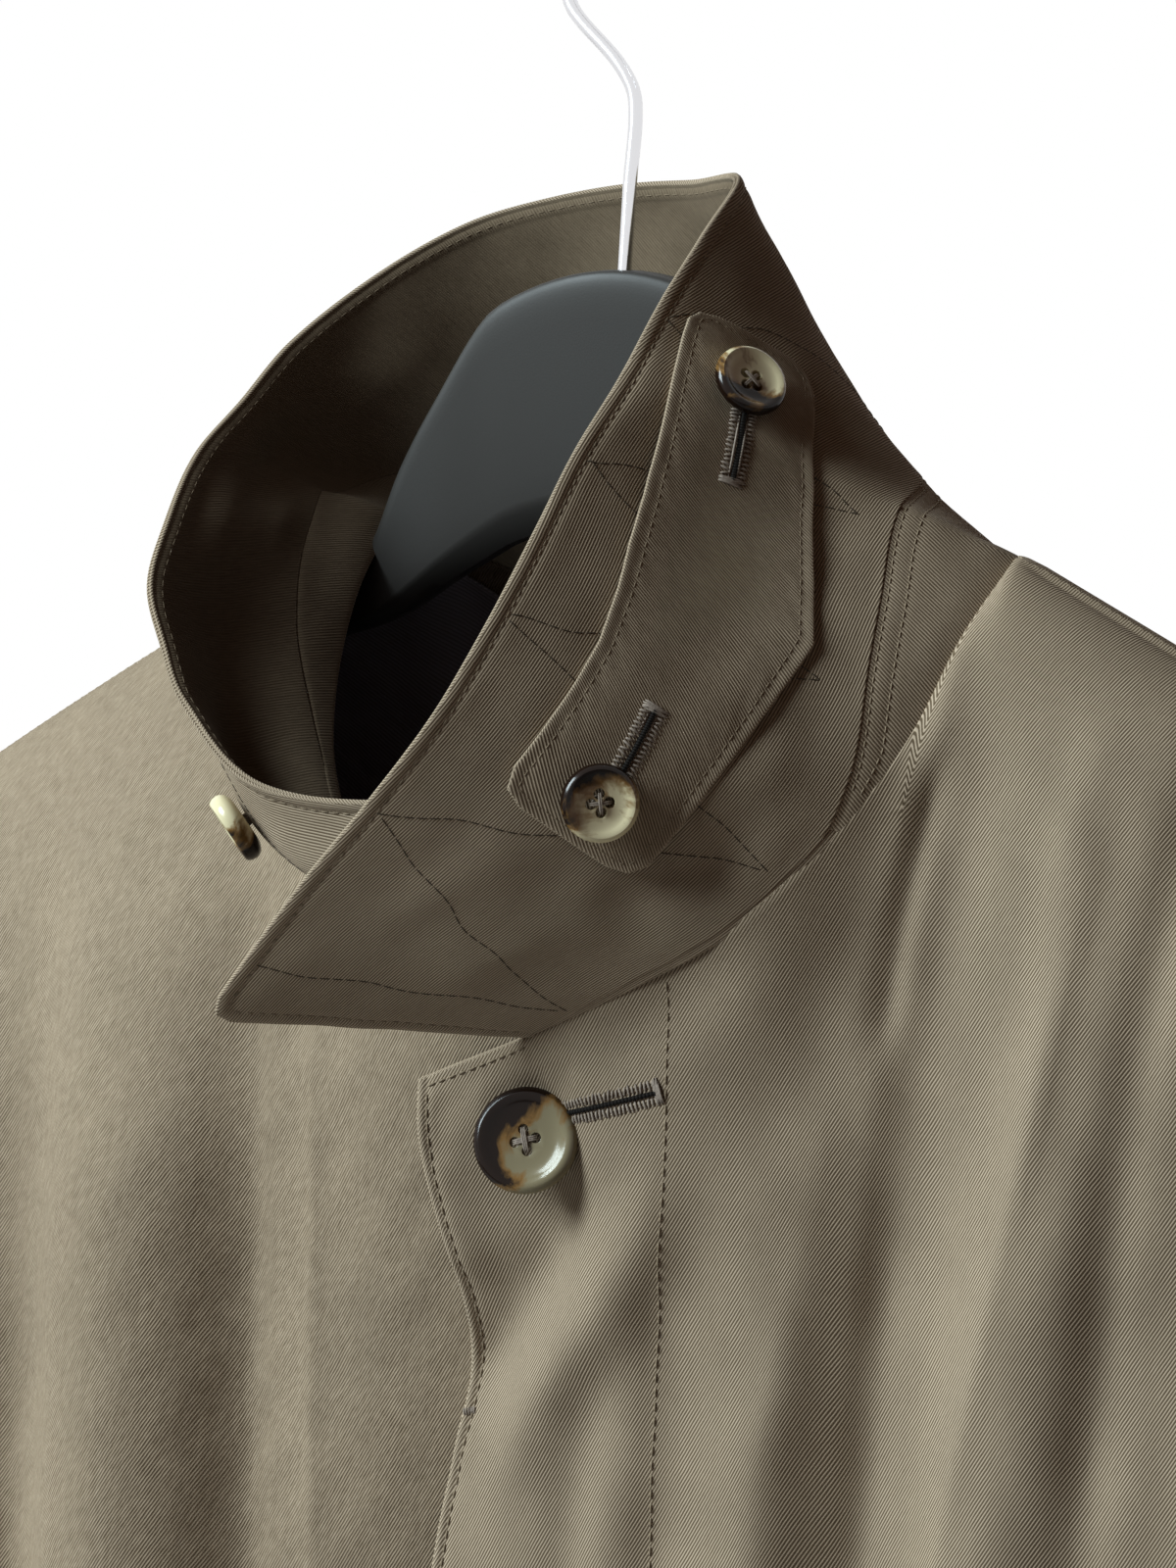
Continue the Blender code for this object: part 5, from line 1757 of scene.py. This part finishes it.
@dataclass
class Sewing:
    """Every row of stitches and the buttonholes."""

    body: Body
    sleeves: Sleeves
    collar: Collar
    finishes: Finishes

    def collar_rows(self) -> Object:
        """Sew the collar's edge, its stand seam and the latch.

        Returns:
            The new piece.
        """
        thread, collar = Stitching("collar_stitches", self.finishes.tonal), self.collar
        fall, stand, latch = (collar.cloths[name] for name in ("fall", "stand", "latch"))
        inset, shares = collar.edge_stitch, np.linspace(0.0, 1.0, 900)
        runs = fall.gap_down()
        tall = np.interp(shares, fall.across, runs[-1] - runs[np.searchsorted(fall.down, collar.seam_row)])
        side, end = collar.fall_row(np.linspace(0.03, 0.965, 200)), inset / collar.edge_long
        wide = np.interp(side, fall.down, fall.gap_across()[:, -1])
        for path in ((np.clip(shares, end, 1.0 - end), collar.fall_row(1.0 - inset / tall)),
                     (inset / wide, side), (1.0 - inset / wide, side)):
            points, normals = fall.at(*path)
            thread.row(points, normals, EDGE_ROW)
            thread.row(points - normals * collar.thick, -normals, EDGE_UNDER)
        inner = np.linspace(*collar.stand_ends, 700)
        tall = np.interp(inner, stand.across, stand.gap_down()[-1])
        sewn = tall > 5.0
        for gap, part in collar.stand_rows:
            thread.row(*stand.at(inner[sewn], 1.0 - np.minimum(gap / tall[sewn], part)), STAND_ROW)
        for line in (0.072, 0.928):
            thread.row(*latch.at(np.linspace(0.015, 0.985, 500), line), LATCH_ROW)
        for line in (0.015, 0.985):
            thread.row(*latch.at(line, np.linspace(0.07, 0.93, 160)), LATCH_ROW)
        return thread.build()

    def zigzag_rows(self) -> Object:
        """Sew the zigzag that holds the undercollar's canvas.

        Returns:
            The new piece.
        """
        thread = Stitching("undercollar_zigzag", self.finishes.zigzag)
        fall = self.collar.cloths["fall"]
        for first, last in zip(ZIGZAG, ZIGZAG[1:]):
            t = np.linspace(0.0, 1.0, 120)
            share = first[0] + (last[0] - first[0]) * t + 0.0009 * np.sin(19.0 * t + 40.0 * first[0])
            up = first[1] + (last[1] - first[1]) * t + 0.006 * np.sin(27.0 * t + 60.0 * last[0])
            foot = self.collar.stand_top(share)
            rows = self.collar.fall_row(np.clip((up - foot) / (1.0 - foot), 0.02, 0.965))
            thread.row(*fall.at(share, rows), ZIGZAG_ROW)
        return thread.build()

    def body_rows(self) -> Object:
        """Sew the placket edge, the fly, the shoulder seams, the hems and the cuffs.

        Returns:
            The new piece.
        """
        thread = Stitching("body_stitches", self.finishes.tonal)
        left, right, back = (self.body.cloths[node] for node in ("front_left", "front_right", "back"))
        neck, shoulder, _ = self.body.left.lengths
        down = np.concatenate((np.linspace(0.012, 1.0, 500), np.linspace(1.0, 1.985, 900)[1:]))
        seam, hem = np.linspace(neck + 1.0, neck + shoulder, 400), 2.0 - HEM_TURN / SKIRT
        for cloth in (left, right):
            thread.row(*cloth.at(2.1, down), PLACKET_ROW)
            thread.row(*cloth.at(np.linspace(cloth.across[0], cloth.across[-1], 900), hem), HEM_ROW)
            chest = cloth.gap_down()[int(np.argmin(np.abs(cloth.down - 1.0)))]
            thread.row(*cloth.at(seam, 3.0 / np.interp(seam, cloth.across, chest)), SHOULDER_ROW)
        fly = np.array(FLY_LINE)
        z = np.linspace(-73.0, fly[-1, 1], 900)
        thread.row(*left.seen_at(along(-fly[:, 1], fly[:, 0], -z), z), FLY_ROW)
        thread.row(*left.at(np.linspace(2.0, 26.0, 80), 0.0075), NECK_ROW)
        thread.row(*back.at(np.linspace(-1.0, 1.0, 1200), hem), HEM_ROW)
        cuff = 2.0 - HEM_TURN / CUFF_FALL
        for cloth in self.sleeves.cloths.values():
            thread.row(*cloth.at(np.linspace(0.0, cloth.across[-1], 500), cuff), HEM_ROW)
        return thread.build()

    def buttonhole(self, points: Array, normals: Array, purl: Stitching, slit: Stitching,
                   wide: float) -> None:
        """Work one buttonhole along a path on the cloth.

        Args:
            points: Points of the path.
            normals: Outward normals of the cloth.
            purl: Thread that takes its edges.
            slit: Near-black stitches laid as the painted shadow in its opening.
            wide: Distance between the middles of its two edges.
        """
        path = unit(points[-1:] - points[:1])
        beside = unit(np.cross(normals, path))
        rng = np.random.default_rng(int(abs(points[0, 0]) * 10))
        length = float(np.linalg.norm(points[-1] - points[0]))
        # Painted shadow: near-black capsules laid along the slit.
        slit.lay((points[:-1] + points[1:]) / 2.0 + normals[:-1] * 0.1, (points[1:] - points[:-1]) * 1.4,
                 normals[:-1], wide * 0.17)
        count = int(length / 0.85)
        keys = np.arange(len(points))
        places = np.linspace(0.02, 0.98, count) * keys[-1]
        for hand in (-1.0, 1.0):
            outward = unit(read_rows(normals, keys, places))
            aside = unit(np.cross(outward, path))
            middle = read_rows(points, keys, places) + aside * (hand * wide / 2.0) + outward * 0.16
            long = (wide * 0.62) * rng.uniform(0.85, 1.25, (count, 1))
            lean = path * rng.uniform(-0.25, 0.25, (count, 1))
            middle = middle + aside * rng.uniform(-0.08, 0.08, (count, 1))
            purl.lay(middle, (aside * hand + lean) * long, outward, 0.26)
            rail = (points[:1] + points[-1:]) / 2.0 + beside[:1] * (hand * wide * 0.25) + normals[:1] * 0.2
            purl.lay(rail, points[-1:] - points[:1], normals[:1], 0.24)
        for n in range(5):
            shift = path * (0.28 * n - 0.4) + beside[-1:] * rng.uniform(-0.3, 0.3)
            purl.lay(points[-1:] + shift + normals[-1:] * 0.3,
                     (beside[-1:] + path * rng.uniform(-0.12, 0.12)) * wide * rng.uniform(1.3, 1.7),
                     normals[-1:], 0.25)

    def buttonholes(self) -> list[Object]:
        """Work the buttonholes of the latch and the fly.

        Returns:
            The new pieces.
        """
        purl = Stitching("buttonhole_purl", self.finishes.purl)
        slit = Stitching("buttonhole_slits", self.finishes.slit)
        latch = self.collar.cloths["latch"]
        t = np.linspace(0.0, 1.0, 30)
        for first, last in (((0.165, 0.50), (0.300, 0.47)), ((0.885, 0.52), (0.75, 0.47))):
            places = latch.at(first[0] + (last[0] - first[0]) * t, first[1] + (last[1] - first[1]) * t)
            self.buttonhole(*places, purl, slit, 3.3)
        left = self.body.cloths["front_left"]
        self.buttonhole(*left.seen_at(8.0 + 20.5 * t, -101.0 + 6.6 * t), purl, slit, 3.1)
        points, normals = left.at(np.linspace(0.3, 2.6, 6), 0.30)
        purl.lay(points + normals * 0.2, np.full_like(points, (0.2, 0.0, -1.6)), normals, 0.2)
        return [purl.build(), slit.build()]


@dataclass
class Button:
    """A turned horn button with a raised rim, a dished middle, four holes and its cross of thread."""

    name: str
    width: float
    point: Array
    normal: Array
    shift: tuple[float, float, float]
    turn: float = 0.0
    gather: float = 0.14            # how much of the brown gathers on the rim
    brown_side: tuple[float, float, float] = (0.0, 0.0, 0.0)
    cream: str = "#D9CEAE"
    thick: float = 3.4
    seat: float = 0.8
    hole: float = 1.0

    @property
    def large(self) -> bool:
        """Whether it is a front button."""
        return self.width > 18.0

    @property
    def hole_gap(self) -> float:
        """Distance of the holes from the button's middle."""
        return (0.205 if self.large else 0.235) * self.width / 2.0

    def matrix(self) -> Matrix:
        """Place the button on the cloth.

        Returns:
            Its place in metres.
        """
        turned = Vector(self.normal).to_track_quat("Z", "Y").to_matrix().to_4x4()
        at = Vector((self.point + self.normal * self.seat + COAT_AT) * MM)
        return Matrix.Translation(at) @ turned @ Matrix.Rotation(math.radians(self.turn), 4, "Z")

    def on_coat(self, spot: tuple[float, float, float]) -> Array:
        """Point of the coat at a spot of the button, as one row."""
        return (np.array(self.matrix() @ (Vector(spot) * MM)) / MM - COAT_AT)[None, :]

    def build(self) -> Object:
        """Turn the button, drill its holes and dress it.

        Returns:
            The new piece.
        """
        radius, thick = self.width / 2.0 * MM, self.thick * MM
        profile = ((0.72, 0.0), (0.90, 0.16), (0.985, 0.36), (1.0, 0.52), (0.985, 0.74), (0.93, 0.92),
                   (0.87, 1.0), (0.80, 0.98), (0.72, 0.86), (0.64, 0.76), (0.52, 0.70), (0.40, 0.675))
        deselect()
        bpy.ops.mesh.primitive_circle_add(vertices=72, radius=profile[0][0] * radius, fill_type="NGON")
        piece = active_piece(self.name + "_horn")
        bpy.ops.object.mode_set(mode="EDIT")
        bpy.ops.mesh.select_all(action="SELECT")
        for (wide, low), (next_wide, high) in zip(profile, profile[1:]):
            rise = (0.0, 0.0, (high - low) * thick)
            bpy.ops.mesh.extrude_region_move(TRANSFORM_OT_translate={"value": rise})
            bpy.ops.transform.resize(value=(next_wide / wide, next_wide / wide, 1.0))
        bpy.ops.mesh.select_all(action="SELECT")
        bpy.ops.mesh.normals_make_consistent(inside=False)
        bpy.ops.object.mode_set(mode="OBJECT")
        gap = self.hole_gap * MM
        for n in range(4):
            deselect()
            angle = math.pi / 2.0 * n
            bpy.ops.mesh.primitive_cylinder_add(vertices=20, radius=self.hole * MM, depth=4.0 * thick,
                                                location=(gap * math.cos(angle), gap * math.sin(angle), 0.0))
            drill = bpy.context.view_layer.objects.active
            cut = piece.modifiers.new("hole", "BOOLEAN")
            cut.operation, cut.solver, cut.object = "DIFFERENCE", "EXACT", drill
            bpy.context.view_layer.objects.active = piece
            bpy.ops.object.modifier_apply(modifier=cut.name)
            bpy.data.objects.remove(drill)
        soft = piece.modifiers.new("soft", "BEVEL")
        soft.width, soft.segments, soft.angle_limit = 0.16 * MM, 2, math.radians(40.0)
        bpy.ops.object.modifier_apply(modifier=soft.name)
        mesh = piece.data
        places = np.empty(len(mesh.vertices) * 3, dtype=np.float32)
        mesh.vertices.foreach_get("co", places)
        places = places.reshape(-1, 3)
        reach = np.hypot(places[:, 0], places[:, 1]) / radius
        side = np.array(self.matrix().to_3x3().inverted() @ Vector(self.brown_side))
        brown = self.gather * ease((reach - 0.55) / 0.4) + places @ side / radius
        mesh.attributes.new("brown", "FLOAT", "POINT").data.foreach_set("value", brown.astype(np.float32))
        mesh.transform(self.matrix())
        mesh.shade_smooth()
        deselect()
        piece.select_set(True)
        bpy.context.view_layer.objects.active = piece
        bpy.ops.object.shade_smooth_by_angle(angle=math.radians(35.0))
        piece.select_set(False)
        return dress(piece, self.name, "horn", Horn(self.cream).material(self.name + " horn", self.shift))

    def cross(self, thread: Stitching) -> None:
        """Lay the cross of thread through the holes, and the shank under the button.

        Args:
            thread: Thread that takes them.
        """
        gap, strands, high = self.hole_gap, 3 if self.large else 2, self.thick * 0.70 + 0.15
        normal = self.normal[None, :]
        for angle in (0.0, math.pi / 2.0):
            for strand in range(strands):
                aside = (strand - (strands - 1) / 2.0) * 0.34
                first, last = (self.on_coat((hand * gap * math.cos(angle) - aside * math.sin(angle),
                                             hand * gap * math.sin(angle) + aside * math.cos(angle), high))
                               for hand in (-1.0, 1.0))
                over = normal * (0.25 if angle else 0.0)
                thread.lay((first + last) / 2.0 + over, (last - first) * 1.18, normal, 0.24)
        for n in range(6):
            angle = math.pi / 3.0 * n
            middle = self.on_coat((0.9 * math.cos(angle), 0.9 * math.sin(angle), -0.2))
            around = self.matrix().to_3x3() @ Vector((-math.sin(angle), math.cos(angle), 0.3))
            tangent = np.array(around)[None, :]
            thread.lay(middle, normal * 2.6 + tangent * 0.5, tangent, 0.5)


@dataclass
class Hanger:
    """Contoured hanger with a raised middle plate, and its bent wire hook."""

    middle_x: float = -12.8
    arm_shares: tuple[float, ...] = (0.09, 0.26, 0.45, 0.68, 0.86, 0.93)
    arm_deep: tuple[float, ...] = (15.0, 15.0, 15.0, 14.0, 12.0, 8.0)
    arm_thick: tuple[float, ...] = (12.0, 12.0, 12.0, 11.0, 10.0, 8.0)
    under: float = 5.0              # the cloth, the lining and their gap over the arms
    around: int = 40
    stations: int = 150
    wire: float = 2.8
    hook_radius: float = 17.0
    shank: float = 33.0
    lean: float = 7.0

    def outline(self) -> Array:
        """Set out the whole hanger from end to end.

        Returns:
            Rows of x, top, foot, y and thickness.
        """
        rows = [[*row, self.middle_x] for row in HANGER]
        seam = np.array([row[:3] for row in FRONT_SHOULDER], float)
        for share, deep, thick in zip(self.arm_shares, self.arm_deep, self.arm_thick):
            point = along(run_keys(seam), seam, np.array([share]))[0]
            top = point[2] - self.under
            rows.append([point[0], top, top - deep, point[1], thick, 0.0])
        half = np.array(rows)
        mirror = half[:0:-1].copy()
        mirror[:, 0] *= -1.0
        whole = np.concatenate((mirror, half))
        whole[:, 0] += whole[:, 5]
        keys = running(whole[:, :2])
        return along(keys, whole[:, :5], np.linspace(0.0, keys[-1], self.stations))

    def section(self, crown_power: float) -> Array:
        """Unit section as depth and height, with a sharp lower front edge.

        Args:
            crown_power: Shape of its top: 1 round, near 0 square with eased corners.

        Returns:
            Rows of depth and height.
        """
        turn = np.linspace(0.0, math.pi / 2.0, self.around // 4 + 1)
        crown = 0.5 * np.stack((np.sin(turn), np.cos(turn)), axis=1) ** crown_power
        front = crown * (-1.0, 1.0)
        under = np.array(((-0.50, -0.14), (-0.49, -0.25), (-0.475, -0.345), (-0.465, -0.365), (-0.42, -0.39),
                          (-0.28, -0.45), (-0.12, -0.492)))
        behind = crown[1:-1] * (1.0, -1.0)
        return np.concatenate((front, under, behind, crown[:0:-1]))

    def body(self) -> Object:
        """Build the moulding by lofting its section along the outline.

        Returns:
            The new piece.
        """
        rows, plate, arm = self.outline(), self.section(0.25), self.section(1.0)
        count = len(plate)
        deselect()
        bpy.ops.mesh.primitive_grid_add(x_subdivisions=self.stations - 1, y_subdivisions=count, size=1.0)
        piece = active_piece("hanger_moulding")
        mesh = piece.data
        places = np.empty(len(mesh.vertices) * 3)
        mesh.vertices.foreach_get("co", places)
        grid = places.reshape(-1, 3)
        i = np.rint((grid[:, 0] + 0.5) * (self.stations - 1)).astype(int)
        j = np.rint((grid[:, 1] + 0.5) * count).astype(int) % count
        x, top, foot, y, thick = (rows[i, n] for n in range(5))
        rounded = ease((np.abs(x - self.middle_x) - 44.0) / 25.0)[:, None]
        section = plate[j] * (1.0 - rounded) + arm[j] * rounded
        grid = np.stack((x, y + thick * section[:, 0],
                         (top + foot) / 2.0 + (top - foot) * section[:, 1]), axis=1)
        grid[:, 2] -= shoulder_drop(grid)
        mesh.vertices.foreach_set("co", ((grid + COAT_AT) * MM).ravel())
        mesh.update()
        bpy.ops.object.mode_set(mode="EDIT")
        bpy.ops.mesh.select_all(action="SELECT")
        bpy.ops.mesh.remove_doubles(threshold=0.00001)
        bpy.ops.mesh.fill_holes(sides=0)
        bpy.ops.mesh.select_all(action="SELECT")
        bpy.ops.mesh.normals_make_consistent(inside=False)
        bpy.ops.object.mode_set(mode="OBJECT")
        bpy.ops.object.shade_smooth_by_angle(angle=math.radians(38.0))
        piece.select_set(False)
        return dress(piece, "hanger_body", "hanger", SatinPlastic().material())

    def hook(self) -> Object:
        """Bend the hook's wire, its seat at the origin.

        Returns:
            The new piece.
        """
        ring, top = self.hook_radius + self.wire / 2.0, HANGER[0].top + COAT_AT[2]
        middle = -ring + self.wire / 2.0
        path = [(0.0, top - 1.5), (0.0, top + self.shank * 0.5), (0.0, top + self.shank),
                (-4.0, top + self.shank + 7.0)]
        for degrees in range(215, -1, -18):
            angle = math.radians(degrees)
            path.append((ring * math.cos(angle), middle + ring * math.sin(angle)))
        path.append((ring + 1.2, middle - 6.0))
        points = np.array(path)
        smooth = along(run_keys(points), points, np.linspace(0.0, 1.0, 160))
        deselect()
        bpy.ops.curve.primitive_nurbs_path_add(radius=MM)
        piece = active_piece("hook_wire")
        curve = piece.data
        curve.splines.clear()
        line = curve.splines.new("POLY")
        line.points.add(len(smooth) - 1)
        back = math.tan(math.radians(self.lean))
        for point, (x, z) in zip(line.points, smooth):
            point.co = (x * MM, z * back * MM, z * MM, 1.0)
        curve.bevel_depth = self.wire / 2.0 * MM
        curve.bevel_resolution = 5
        curve.use_fill_caps = True
        bpy.ops.object.convert(target="MESH")
        piece = bpy.context.view_layer.objects.active
        piece.name = "hook_wire"
        piece.data.shade_smooth()
        piece.select_set(False)
        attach(piece, "root")
        return dress(piece, "hanger_hook", "steel", PolishedSteel().material())


@dataclass
class Studio:
    """White surround, soft light from the upper left, a pale floor and the camera."""

    azimuth: float = 31.0
    elevation: float = 9.0
    distance: float = 800.0
    lens: float = 92.16
    shift_right: float = 19.6
    shift_up: float = 46.0
    fill: float = 0.080             # strength of the surround on the coat
    shine: float = 0.95             # and more of it in what gloss reflects
    bounce: str = "#F2B88A"         # tint of the light that the room throws back
    key_place: tuple[float, float, float] = (-1.73, 1.00, 0.66)     # metres right, up and toward the viewer
    key_size: float = 1.0
    key_power: float = 79.0
    key_colour: tuple[float, float, float] = (0.82, 0.95, 1.0)
    paper: str = "#E9E8E6"
    tooth: float = 1.111            # grain of the floor's paper

    def axes(self) -> tuple[Vector, Vector, Vector]:
        """Measure the picture's own directions.

        Returns:
            Its right, its up and the way toward the viewer.
        """
        a, e = math.radians(self.azimuth), math.radians(self.elevation)
        right = Vector((math.cos(a), math.sin(a), 0.0))
        toward = Vector((math.sin(a) * math.cos(e), -math.cos(a) * math.cos(e), math.sin(e)))
        return right, toward.cross(right), toward

    def camera(self) -> None:
        """Set up the camera at the photograph's view."""
        right, up, toward = self.axes()
        at = Vector(COAT_AT) + toward * self.distance - right * self.shift_right - up * self.shift_up
        data = bpy.data.cameras.new("camera")
        data.lens, data.sensor_width, data.sensor_fit = self.lens, 36.0, "AUTO"
        data.clip_start, data.clip_end = 0.01, 50.0
        eye = bpy.data.objects.new("camera", data)
        turn = Matrix((right, up, toward)).transposed().to_4x4()
        eye.matrix_world = Matrix.Translation(at * MM) @ turn
        bpy.context.scene.collection.objects.link(eye)
        bpy.context.scene.camera = eye

    def key(self) -> None:
        """Hang the soft key light over the left of the collar."""
        target = Vector(COAT_AT) * MM
        at = target + sum((way * far for way, far in zip(self.axes(), self.key_place)), Vector())
        data = bpy.data.lights.new("key", "AREA")
        data.shape, data.size = "SQUARE", self.key_size
        data.energy, data.color = self.key_power, self.key_colour
        lamp = bpy.data.objects.new("key", data)
        turned = (at - target).to_track_quat("Z", "Y").to_matrix().to_4x4()
        lamp.matrix_world = Matrix.Translation(at) @ turned
        bpy.context.scene.collection.objects.link(lamp)

    def surround(self) -> None:
        """Set the white surround, which lights the coat only weakly, and the floor."""
        world = bpy.data.worlds.new("white surround")
        bpy.context.scene.world = world
        world.use_nodes = True
        tree = world.node_tree
        tree.nodes.clear()
        ray = add_node(tree, "LightPath")
        shine = add_node(tree, "Math", {
            0: ray.outputs["Is Glossy Ray"], 1: self.shine, 2: self.fill}, operation="MULTIPLY_ADD")
        seen = add_node(tree, "Math", {
            0: ray.outputs["Is Camera Ray"], 1: 1.0 - self.fill, 2: shine.outputs["Value"]},
            operation="MULTIPLY_ADD")
        plain = add_node(tree, "Math", {
            0: ray.outputs["Is Camera Ray"], 1: ray.outputs["Is Glossy Ray"]}, operation="MAXIMUM")
        tint = add_node(tree, "Mix", {
            "Factor": plain.outputs["Value"], "A": linear(self.bounce), "B": (1.0, 1.0, 1.0, 1.0)},
            data_type="RGBA")
        white = add_node(tree, "Background", {
            "Color": tint.outputs["Result"], "Strength": seen.outputs["Value"]})
        add_node(tree, "OutputWorld", {"Surface": white.outputs[0]})
        deselect()
        bpy.ops.mesh.primitive_plane_add(size=6.0, location=(0.0, 0.0, (COAT_AT[2] + HEM_Z - 60.0) * MM))
        floor = bpy.context.view_layer.objects.active
        floor.name = "studio_floor"
        floor.select_set(False)
        paper, add, fill = new_material("pale floor paper")
        place = add("TexCoord")
        tooth = add("TexNoise", {"Vector": place.outputs["Object"], "Scale": 1.0 / (self.tooth * MM)})
        relief = add("Bump", {"Height": tooth.outputs["Fac"], "Strength": 0.05})
        fill({"Base Color": linear(self.paper), "Roughness": 0.9, "Normal": relief.outputs["Normal"]})
        floor.data.materials.append(paper)

    def build(self) -> None:
        """Set up everything that isn't the coat."""
        self.camera()
        self.key()
        self.surround()
        view = bpy.context.scene.view_settings
        view.view_transform, view.look, view.gamma = "Standard", "None", 0.82


def main() -> None:
    """Build the coat, its hanger and the studio."""
    logging.basicConfig(level=logging.INFO, format="%(message)s")
    Studio().build()
    finishes = Finishes.mix()
    body, sleeves = Body(finishes), Sleeves(finishes)
    collar = Collar(body, finishes)
    hanger = Hanger()
    pieces = {
        "front_left": body.front("front_left", body.left, 11),
        "front_right": body.front("front_right", body.right, 21),
        "back": body.back(), "back_lining": body.lining(),
        "sleeve_left": sleeves.build("sleeve_left", 1), "sleeve_right": sleeves.build("sleeve_right", -1),
        "collar_fall": collar.fall(), "collar_stand": collar.stand(), "throat_latch": collar.latch(),
        "hanger_body": hanger.body(), "hanger_hook": hanger.hook()}
    sewing = Sewing(body, sleeves, collar, finishes)
    pieces["collar_stitches"] = sewing.collar_rows()
    pieces["zigzag"] = sewing.zigzag_rows()
    pieces["body_stitches"] = sewing.body_rows()
    pieces["purl"], pieces["slits"] = sewing.buttonholes()
    latch = collar.cloths["latch"]
    spots = (body.cloths["front_left"].seen_at([0.2], [-108.1]), latch.at(0.13, 0.47), latch.at(0.928, 0.51),
             collar.cloths["fall"].at(0.885, collar.fall_row(0.60)))
    front, upper, lower, right = ((points[0], normals[0]) for points, normals in spots)
    tipped = unit(front[1] + np.array((0.12, 0.0, 0.42)))
    buttons = (
        Button("front_button", 20.5, front[0], tipped, (0.31, 0.12, 0.05), 15.0, 0.10, (-0.22, -0.09, 0.22),
               "#8E846B", seat=3.9),
        Button("latch_button_upper", 14.6, *upper, (0.02, 0.4, 0.1), 30.0, 0.12, (-0.07, -0.09, -0.21)),
        Button("latch_button_lower", 14.6, *lower, (0.5, 0.8, 0.4), 5.0, 0.12, (-0.09, -0.03, 0.16)),
        Button("collar_button_right", 14.6, *right, (0.2, 0.6, 0.1), 20.0, 0.08, (0.14, 0.10, -0.10),
               thick=4.2))
    crosses = Stitching("button_threads", finishes.purl)
    for button in buttons:
        pieces[button.name] = button.build()
        button.cross(crosses)
    pieces["button_threads"] = crosses.build()
    for name, piece in pieces.items():
        LOG.info("%s: %d faces", name, len(piece.data.polygons))


if __name__ == "__main__":
    main()
